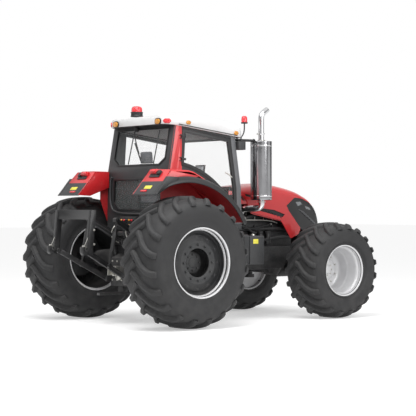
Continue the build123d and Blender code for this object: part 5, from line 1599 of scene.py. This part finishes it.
def make_exhaust():
    black, metal = black_plastic(), zinc()
    x, y = -0.75, -2.12
    foot = at(x, y, 1.99)
    shield, pipe = brushed(), polished()
    shape = Shape()
    profile = [
        (0.0, 0.01), (0.0, 0.166), (0.004, 0.174), (0.01, 0.178), (0.03, 0.1795), (0.956, 0.1795),
        (0.966, 0.18), (0.976, 0.18), (0.986, 0.178), (0.986, 0.173), (0.03, 0.171), (0.022, 0.16),
        (0.022, 0.01),
    ]
    shape.lathe(profile, foot, shield, "Z", 1, 96)
    can = solid(
        (0.022, 0.13), (0.03, 0.135), (0.9, 0.135), (0.922, 0.131), (0.95, 0.104), (0.97, 0.07),
        (0.986, 0.058),
    )
    shape.lathe(can, foot, pipe, "Z", 1, 72)
    # Bands round the shield and the two ears that hold it to the can.
    for up in (0.06, 0.9):
        shape.lathe(hoop(up, up + 0.022, 0.179, 0.1815), foot, pipe, "Z", 1, 96)
    for side in (1, -1):
        shape.block(
            foot + Vector((side * 0.134, -0.012, 0.9)), foot + Vector((side * 0.172, 0.012, 0.93)), metal
        )
    shape.piece("muffler_skin", "chassis", "chrome_pipe", ["muffler"], bevel=0.0015)
    tail = Shape()
    route = [at(x, y, 2.976), at(x, y, 3.3), at(x, y, 3.425), at(x, y - 0.13, 3.51)]
    tail.tube(route, 0.048, pipe, 4, 32)
    end = Vector(route[-1])
    along = (end - route[-2]).normalized()
    tail.tube([end - along * 0.006, end], 0.0481, black, 0, 32)
    tail.lathe(
        [(0, 0.047), (0, 0.0575), (0.006, 0.06), (0.03, 0.06), (0.034, 0.056), (0.034, 0.047)],
        at(x, y, 3.08), pipe, "Z", 1, 48,
    )
    tail.lathe(
        [(0, 0.047), (0, 0.064), (0.006, 0.066), (0.014, 0.064), (0.014, 0.047)], at(x, y, 2.985), metal, "Z",
        1, 40,
    )
    tail.block(at(x - 0.012, y + 0.052, 3.088), at(x + 0.012, y + 0.09, 3.108), metal)
    tail.piece("tailpipe_skin", "chassis", "chrome_pipe", ["tailpipe"])
    elbow = Shape()
    way = [
        (x, y, 1.99), (x, y, 1.88), (x + 0.06, y + 0.035, 1.852), (-0.52, -1.99, 1.85),
        (-0.440, -1.962, 1.836),
    ]
    way += [(-0.4, -1.96, 1.77), (-0.385, -1.96, 1.722), (-0.3006, -1.96, 1.72)]
    elbow.tube([at(*point) for point in way], 0.055, pipe, 3, 32)
    elbow.lathe(hoop(0, 0.014, 0.054, 0.078), at(x, y, 1.955), metal, "Z", 1, 40)
    elbow.lathe(hoop(0, 0.012, 0.054, 0.082), at(-0.3135, -1.96, 1.72), metal, "X", 1, 32)
    elbow.piece("elbow_skin", "chassis", "chrome_pipe", ["exhaust_elbow"])
    stay = Shape()
    stay.tube([at(-0.79, -1.482, 2.98), at(-0.79, -1.9403, 2.98)], 0.022, black, 0, 20)
    for station in (-1.5, -1.93):
        stay.lathe(hoop(0, 0.014, 0.02, 0.03), at(-0.79, station, 2.98), black, "Y", 1, 24)
    stay.piece("stay_skin", "chassis", "black_plastic", ["muffler_stay"])


# ---- chassis, tanks and engine bay -----------------------------------------------------

# Packed forms with rounded corners: node, slot, finish, bevel.
PLAIN_FORMS = (
    ("transmission", "cast_grey", cast_iron, 0.010),
    ("rear_axle_housing", "cast_grey", cast_iron, 0.004),
    ("engine_block", "engine_black", cast_iron, 0.012),
    ("front_frame", "cast_grey", cast_iron, 0.005),
    ("front_bracket", "cast_grey", cast_iron, 0.010),
    ("front_axle", "cast_grey", cast_iron, 0.004),
    ("knuckle_left", "cast_grey", cast_iron, 0.010),
    ("knuckle_right", "cast_grey", cast_iron, 0.010),
    ("hood_bulkhead", "black_plastic", black_plastic, 0.004),
    ("radiator", "engine_black", black_plastic, 0.006),
    ("lower_links", "cast_grey", linkage_paint, 0.006),
    ("lift_arms", "cast_grey", linkage_paint, 0.006),
    ("lift_rods", "cast_grey", linkage_paint, 0.003),
    ("top_link", "cast_grey", linkage_paint, 0.003),
    ("quick_hitch", "cast_grey", linkage_paint, 0.006),
    ("drawbar", "cast_grey", linkage_paint, 0.005),
    ("pto_shaft", "cast_grey", zinc, 0.002),
    ("remote_valves", "cast_grey", cast_iron, 0.004),
    ("battery_box", "grey_plastic", grey_plastic, 0.014),
    ("tank_left", "grey_plastic", grey_plastic, 0.016),
    ("tank_right", "grey_plastic", grey_plastic, 0.016),
    ("steps", "black_plastic", black_plastic, 0.003),
)


def make_plain_forms():
    for node, slot, finish, bevel in PLAIN_FORMS:
        softened(node, slot, [finish()], bevel)


def make_tank_trim():
    """Seams, caps, straps and blank plates on the tanks, and treads on the steps."""
    black = black_plastic()
    shape = Shape()
    for side in (1, -1):
        front = -2.04 if side > 0 else -1.73
        out = side * 0.9005
        shape.tube([at(out, front, 1.175), at(out, -1.12, 1.175)], 0.005, black, 0, 8)
        for station in (-1.3, -1.62):
            strap = run(side, (0.37, station, 1.428), (0.865, station, 1.428), (0.904, station, 1.392))
            strap += run(side, (0.904, station, 0.96), (0.865, station, 0.921), (0.37, station, 0.921))
            rings = [[p + Vector((0, d, 0)) for p in strap] for d in (-0.018, 0.018)]
            inner = [
                p + Vector((-side * 0.004, 0, -0.004 if k < 2 else (0.004 if k > 3 else 0)))
                for k, p in enumerate(strap)
            ]
            shape.rings(
                rings + [[p + Vector((0, d, 0)) for p in inner] for d in (0.018, -0.018)], black, closed=True
            )
        cap = at(side * 0.62, -1.2, 1.425)
        shape.lathe(
            solid((0, 0.052), (0.016, 0.052), (0.02, 0.06), (0.05, 0.06), (0.058, 0.05)),
            cap, black, "Z", 1, 28,
        )
    shape.block(at(-0.9045, -1.925, 1.268), at(-0.9005, -1.815, 1.345), yellow_plate())
    shape.block(at(-0.903, -2.045, 1.36), at(-0.9005, -1.762, 1.366), black)
    for up in (0.545, 0.825, 1.105):
        for k in range(9):
            y = -1.575 + 0.044 * k
            shape.block(at(0.94, y, up), at(1.1, y + 0.016, up + 0.005), zinc())
    shape.tube(
        [at(1.02, -1.62, 1.15), at(1.03, -1.64, 1.3), at(0.93, -1.66, 1.52), at(0.87, -1.66, 1.75)], 0.014,
        black, 3, 12,
    )
    shape.piece("tank_trim", "chassis", "black_plastic", bevel=0.0015)


def make_engine_bay():
    """What shows between the hood and the rails: filters, pipes, pulleys, hoses and boxes."""
    black = black_plastic()
    shape = Shape()
    rubber, metal, iron = hose_rubber(), zinc(), cast_iron()
    for side in (1, -1):
        shape.tube(run(side, (0.4, -1.72, 1.655), (0.4, -2.6, 1.655), (0.38, -2.8, 1.6)), 0.011, metal, 2, 12)
        for k in range(3):
            station = -2.25 - 0.17 * k
            can = at(side * 0.37, station, 1.25)
            shape.lathe(
                solid((0, 0.045), (0.012, 0.052), (0.16, 0.052), (0.175, 0.046)), can,
                black if k else metal, "Z", 1, 32,
            )
            shape.lathe(solid((0.175, 0.056), (0.2, 0.058), (0.215, 0.04)), can, iron, "Z", 1, 32)
        for k, (y0, z0, y1, z1, r) in enumerate(
            (
                (-1.78, 1.36, -2.6, 1.5, 0.02), (-1.8, 1.47, -2.75, 1.58, 0.016),
                (-2.05, 1.25, -3.3, 1.4, 0.028), (-1.8, 1.58, -2.45, 1.33, 0.014),
            )
        ):
            mid_y, mid_z = (y0 + y1) / 2, (z0 + z1) / 2
            x = side * (0.335 + 0.022 * k)
            route = [
                at(x - side * 0.05, y0, z0), at(x, y0 - 0.08, z0),
                at(x + side * 0.02, mid_y, mid_z - 0.06 + 0.04 * k),
            ]
            route += [at(x, y1 + 0.08, z1), at(x - side * 0.06, y1, z1)]
            shape.tube(route, r, rubber, 3, 14)
            for point in (route[1], route[3]):
                shape.lathe(hoop(-0.008, 0.008, r, r + 0.004), point, metal, "Y", 1, 20)
        # Head cover, injector lines and manifold on the engine's flank.
        shape.block(at(side * 0.02, -3.1, 1.78), at(side * 0.2, -1.86, 1.88), iron)
        for k in range(6):
            station = -3.0 + 0.2 * k
            shape.tube(
                run(side, (0.21, station, 1.86), (0.3, station + 0.02, 1.84), (0.318, station + 0.06, 1.66)),
                0.007, metal, 2, 8,
            )
            shape.lathe(
                [(0, 0), (0, 0.026), (0.03, 0.024), (0.034, 0.0)], at(side * 0.3, station + 0.05, 1.545),
                iron, "X", side, 20,
            )
        shape.tube(run(side, (0.335, -3.05, 1.5), (0.335, -1.98, 1.5)), 0.034, iron, 0, 18)
        # Turbocharger housing and air pipe forward to the radiator.
        shape.lathe(
            solid((-0.05, 0.062), (-0.02, 0.088), (0.03, 0.088), (0.06, 0.058)),
            at(side * 0.36, -2.02, 1.66), metal, "Y", 1, 32,
        )
        shape.tube(
            run(side, (0.36, -2.09, 1.68), (0.34, -2.45, 1.8), (0.24, -3.1, 1.84), (0.22, -3.395, 1.8)),
            0.04, rubber, 3, 20,
        )
        shape.block(at(side * 0.31, -1.98, 1.205), at(side * 0.43, -1.76, 1.33), black)
    # Pulleys and fan before the engine.
    for x, z, r in ((0.0, 1.45, 0.11), (0.17, 1.62, 0.055), (-0.16, 1.28, 0.065)):
        shape.lathe(
            solid((0, r), (0.012, r), (0.02, r - 0.014), (0.028, r), (0.04, r)),
            at(x, -3.245, z), iron, "Y", 1, 36,
        )
    shape.lathe(solid((0, 0.06), (0.05, 0.05)), at(0, -3.31, 1.5), black, "Y", 1, 24)
    for n in range(8):
        a = 2 * pi * n / 8
        out, along = Vector((cos(a), 0, sin(a))), Vector((-sin(a), 0.35, cos(a))).normalized()
        hub = at(0, -3.3, 1.5)
        blade = [
            hub + out * 0.05 - along * 0.03, hub + out * 0.25 - along * 0.05, hub + out * 0.25 + along * 0.05,
            hub + out * 0.05 + along * 0.03,
        ]
        shape.rings([blade, [p + Vector((0, 0.006, 0)) for p in blade]], black)
    for k in range(22):
        up = 1.23 + 0.029 * k
        shape.tube([at(-0.285, -3.565, up), at(0.285, -3.565, up)], 0.004, metal, 0, 6)
    shape.piece("engine_bay", "chassis", "engine_black", bevel=0.002)


def make_rear_details():
    """Bolts, cylinders and hoses round the transmission's rear end."""
    shape = Shape()
    metal, rubber = zinc(), hose_rubber()
    for side in (1, -1):
        # Lift cylinder beside the housing, with its rod to the arm.
        shape.tube(run(side, (0.262, 0.1, 0.93), (0.262, 0.17, 1.26)), 0.04, linkage_paint(), 0, 24)
        shape.tube(run(side, (0.262, 0.17, 1.26), (0.262, 0.185, 1.34)), 0.02, metal, 0, 20)
        for n in range(12):
            a = 2 * pi * n / 12
            spot = at(side * 0.286, 0.235 * cos(a), 1.025 + 0.235 * sin(a))
            shape.take(moved(bolt(0.011, 0.014, "X", side), spot))
        for k in range(2):
            x = side * (0.1 + 0.07 * k)
            route = [
                at(x, 0.128, 1.585), at(x, 0.2, 1.59), at(x + side * 0.02, 0.27, 1.5),
                at(x + side * 0.05, 0.24, 1.36),
            ]
            route += [at(x + side * 0.03, 0.12, 1.3), at(x, 0.105, 1.28)]
            shape.tube(route, sizes().hose, zinc() if k else rubber, 3, 12)
    for x in (-0.19, -0.06, 0.06, 0.19):
        for z in (0.7, 1.0):
            shape.take(moved(bolt(0.012, 0.014, "Y", 1), at(x, 0.2503, z)))
    for n in range(8):
        a = 2 * pi * n / 8
        shape.take(moved(bolt(0.007, 0.009, "Y", 1), at(0.078 * cos(a), 0.276, 0.79 + 0.078 * sin(a))))
    # The coupler caps take the red and amber lens finishes, so they glow faintly though they are no lamps: a
    # painted glow.
    colours_in_turn = (red_lens, amber_lens, black_plastic)
    for k, x in enumerate((-0.175, -0.105, -0.035, 0.035, 0.105, 0.175)):
        for z in (1.585, 1.665):
            cap = at(x, 0.128, z)
            shape.lathe(
                solid((0, 0.017), (0.016, 0.016), (0.02, 0.01)), cap,
                colours_in_turn[k % 3](), "Y", 1, 20,
            )
    shape.piece("rear_details", "chassis", "cast_grey", bevel=0.0015)
    arms = Shape()
    for side in (1, -1):
        for y, z in ((0.15, 1.44), (0.575, 1.67)):
            arms.lathe(
                [(0, 0), (0, 0.024), (0.01, 0.022), (0.012, 0)], at(side * 0.3762, y, z), metal, "X", side,
                24,
            )
    arms.piece("arm_caps", "lift_arms", "cast_grey")
    hooks = Shape()
    for side in (1, -1):
        for z in (1.3, 1.52):
            hooks.take(moved(bolt(0.014, 0.018, "X", side), at(side * 0.512, 1.08, z)))
        latch = [(1.2, 1.262), (1.262, 1.285), (1.27, 1.262), (1.21, 1.24)]
        hooks.prism(latch, (side * 0.452, side * 0.5), metal)
        hooks.tube(
            run(side, (0.476, 1.235, 1.28), (0.476, 1.16, 1.42), (0.45, 1.12, 1.6)), 0.006, metal, 2, 8
        )
    hooks.prism([(1.058, 1.7), (1.064, 1.7), (1.064, 1.812), (1.058, 1.812)], (-0.2, 0.2), linkage_paint())
    hooks.piece("hitch_details", "quick_hitch", "cast_grey", bevel=0.001)


# ---- stage and camera ------------------------------------------------------------------


def stage_material():
    """A pale floor that stays white to the camera and keeps the machine's shadow."""
    material = bpy.data.materials.new("pale_floor")
    material.use_nodes = True
    nodes = Nodes(material.node_tree)
    material.node_tree.nodes.remove(material.node_tree.nodes["Principled BSDF"])
    matt = nodes.add("ShaderNodeBsdfDiffuse", {"Color": (0.8, 0.8, 0.8, 1)})
    glow = nodes.add("ShaderNodeEmission", {"Color": (1, 1, 1, 1), "Strength": 0.42})
    both = nodes.add("ShaderNodeAddShader", {0: matt.outputs[0], 1: glow.outputs[0]})
    rays = nodes.add("ShaderNodeLightPath")
    seen = nodes.math("MAXIMUM", rays.outputs["Is Camera Ray"], rays.outputs["Is Glossy Ray"])
    choice = nodes.add("ShaderNodeMixShader", {0: seen, 1: matt.outputs[0], 2: both.outputs[0]})
    end = material.node_tree.nodes["Material Output"]
    material.node_tree.links.new(choice.outputs[0], end.inputs["Surface"])
    return material


def make_world():
    world = bpy.data.worlds.new("studio")
    world.use_nodes = True
    bpy.context.scene.world = world
    nodes = Nodes(world.node_tree)
    background = world.node_tree.nodes["Background"]
    rays = nodes.add("ShaderNodeLightPath")
    seen = nodes.math("MAXIMUM", rays.outputs["Is Camera Ray"], rays.outputs["Is Transmission Ray"])
    way = nodes.add("ShaderNodeTexCoord").outputs["Generated"]
    split = nodes.add("ShaderNodeSeparateXYZ", {0: way})
    turn = nodes.math("ARCTAN2", split.outputs["Y"], split.outputs["X"])
    bands = nodes.math("SINE", nodes.math("MULTIPLY", turn, 5.0))
    panels = nodes.spread(bands, -0.2, 0.5, 0.16, 1.0)
    overhead = nodes.spread(split.outputs["Z"], 0.25, 0.7)
    glossy = nodes.math("MAXIMUM", panels, overhead)
    soft = nodes.math("MULTIPLY", nodes.spread(split.outputs["Z"], -0.2, 0.9, 0.55, 1.0), 0.72)
    light = nodes.add("ShaderNodeMix", {0: rays.outputs["Is Glossy Ray"], 2: soft, 3: glossy}).outputs[0]
    strength = nodes.add("ShaderNodeMix", {0: seen, 2: light, 3: 1.0}).outputs[0]
    world.node_tree.links.new(strength, background.inputs["Strength"])
    background.inputs["Color"].default_value = (1, 1, 1, 1)


def make_lamp(name, size, energy, place_at, aim):
    light = bpy.data.lights.new(name, "AREA")
    light.shape = "DISK"
    light.size = size
    light.energy = energy
    lamp = add_object(name, light)
    lamp.location = place_at
    lamp.rotation_euler = (Vector(aim) - Vector(place_at)).to_track_quat("-Z", "Y").to_euler()


def make_camera():
    data = bpy.data.cameras.new("camera")
    data.sensor_width = 36.0
    data.lens = CAMERA_LENS
    data.clip_end = 200.0
    camera = add_object("camera", data)
    camera.location = CAMERA_AT
    camera.rotation_euler = (CAMERA_AIM - CAMERA_AT).to_track_quat("-Z", "Y").to_euler()
    bpy.context.scene.camera = camera


# ---- operators -------------------------------------------------------------------------


class TRACTOR_OT_wheels(bpy.types.Operator):
    """Tyres with lugs, rims and hubs, on their wheels"""

    bl_idname = "tractor.wheels"
    bl_label = "Wheels"

    def execute(self, context):
        for name, side in SIDES:
            for kind in ("rear", "front"):
                make_tyre(kind, name)
            make_rear_rim(name, side)
            make_rear_hub(name, side)
            make_front_rim(name, side)
            make_front_hub(name, side)
        return {"FINISHED"}


class TRACTOR_OT_fenders(bpy.types.Operator):
    """Fender skins, their grey edging and rear lamps"""

    bl_idname = "tractor.fenders"
    bl_label = "Fenders"

    def execute(self, context):
        for name, side in SIDES:
            make_fender(name, side)
            make_fender_lamps(name, side)
        make_bands()
        return {"FINISHED"}


class TRACTOR_OT_hood(bpy.types.Operator):
    """The hood's skin, mask and vents"""

    bl_idname = "tractor.hood"
    bl_label = "Hood"

    def execute(self, context):
        make_hood()
        make_hood_trim()
        make_cowl()
        return {"FINISHED"}


class TRACTOR_OT_cab(bpy.types.Operator):
    """Cab frame, doors, glass, roof and lining"""

    bl_idname = "tractor.cab"
    bl_label = "Cab"

    def execute(self, context):
        make_cab()
        make_roof()
        return {"FINISHED"}


class TRACTOR_OT_interior(bpy.types.Operator):
    """Seat, console, controls and steering wheel"""

    bl_idname = "tractor.interior"
    bl_label = "Interior"

    def execute(self, context):
        make_interior()
        return {"FINISHED"}


class TRACTOR_OT_lamps(bpy.types.Operator):
    """Lamps on the roof and both beacons"""

    bl_idname = "tractor.lamps"
    bl_label = "Lamps"

    def execute(self, context):
        make_lamps()
        make_beacons()
        return {"FINISHED"}


class TRACTOR_OT_exhaust(bpy.types.Operator):
    """Muffler with its shield, tailpipe, elbow and stay"""

    bl_idname = "tractor.exhaust"
    bl_label = "Exhaust"

    def execute(self, context):
        make_exhaust()
        return {"FINISHED"}


class TRACTOR_OT_chassis(bpy.types.Operator):
    """Castings, axles, linkage, tanks and steps, with what shows in the engine bay"""

    bl_idname = "tractor.chassis"
    bl_label = "Chassis"

    def execute(self, context):
        make_plain_forms()
        make_tank_trim()
        make_engine_bay()
        make_rear_details()
        return {"FINISHED"}


class TRACTOR_OT_stage(bpy.types.Operator):
    """Pale floor, soft light and the camera"""

    bl_idname = "tractor.stage"
    bl_label = "Stage"

    def execute(self, context):
        mesh = bpy.data.meshes.new("floor")
        corners = [(x * FLOOR_REACH, y * FLOOR_REACH, 0) for x, y in ((-1, -1), (1, -1), (1, 1), (-1, 1))]
        mesh.from_pydata(corners, [], [(0, 1, 2, 3)])
        mesh.materials.append(stage_material())
        floor = add_object("floor", mesh)
        make_world()
        make_lamp("top_light", 7.0, 620.0, (-2.5, 3.5, 8.5), (0, 0, 1.0))
        make_lamp("side_light", 5.0, 260.0, (-9.0, -2.0, 5.0), (0, 0, 1.2))
        make_camera()
        context.scene.view_settings.view_transform = "Standard"
        return {"FINISHED"}


OPERATORS = (
    TRACTOR_OT_wheels,
    TRACTOR_OT_fenders,
    TRACTOR_OT_hood,
    TRACTOR_OT_cab,
    TRACTOR_OT_interior,
    TRACTOR_OT_lamps,
    TRACTOR_OT_exhaust,
    TRACTOR_OT_chassis,
    TRACTOR_OT_stage,
)


class TRACTOR_PT_panel(bpy.types.Panel):
    """Lists the tractor's pieces in the sidebar"""

    bl_idname = "TRACTOR_PT_panel"
    bl_label = "Tractor"
    bl_space_type = "VIEW_3D"
    bl_region_type = "UI"
    bl_category = "Tractor"

    def draw(self, context):
        for operator in OPERATORS:
            self.layout.operator(operator.bl_idname)
        for group in (context.scene.tractor_sizes, context.scene.tractor_colours):
            for key in group.__annotations__:
                self.layout.prop(group, key)


CLASSES = (TractorSizes, TractorColours, *OPERATORS, TRACTOR_PT_panel)


def register():
    for item in CLASSES:
        bpy.utils.register_class(item)
    bpy.types.Scene.tractor_sizes = bpy.props.PointerProperty(type=TractorSizes)
    bpy.types.Scene.tractor_colours = bpy.props.PointerProperty(type=TractorColours)


def unregister():
    del bpy.types.Scene.tractor_sizes
    del bpy.types.Scene.tractor_colours
    for item in reversed(CLASSES):
        bpy.utils.unregister_class(item)


def main():
    register()
    bpy.ops.tractor.wheels()
    bpy.ops.tractor.fenders()
    bpy.ops.tractor.hood()
    bpy.ops.tractor.cab()
    bpy.ops.tractor.interior()
    bpy.ops.tractor.lamps()
    bpy.ops.tractor.exhaust()
    bpy.ops.tractor.chassis()
    bpy.ops.tractor.stage()


if __name__ == "__main__":
    main()
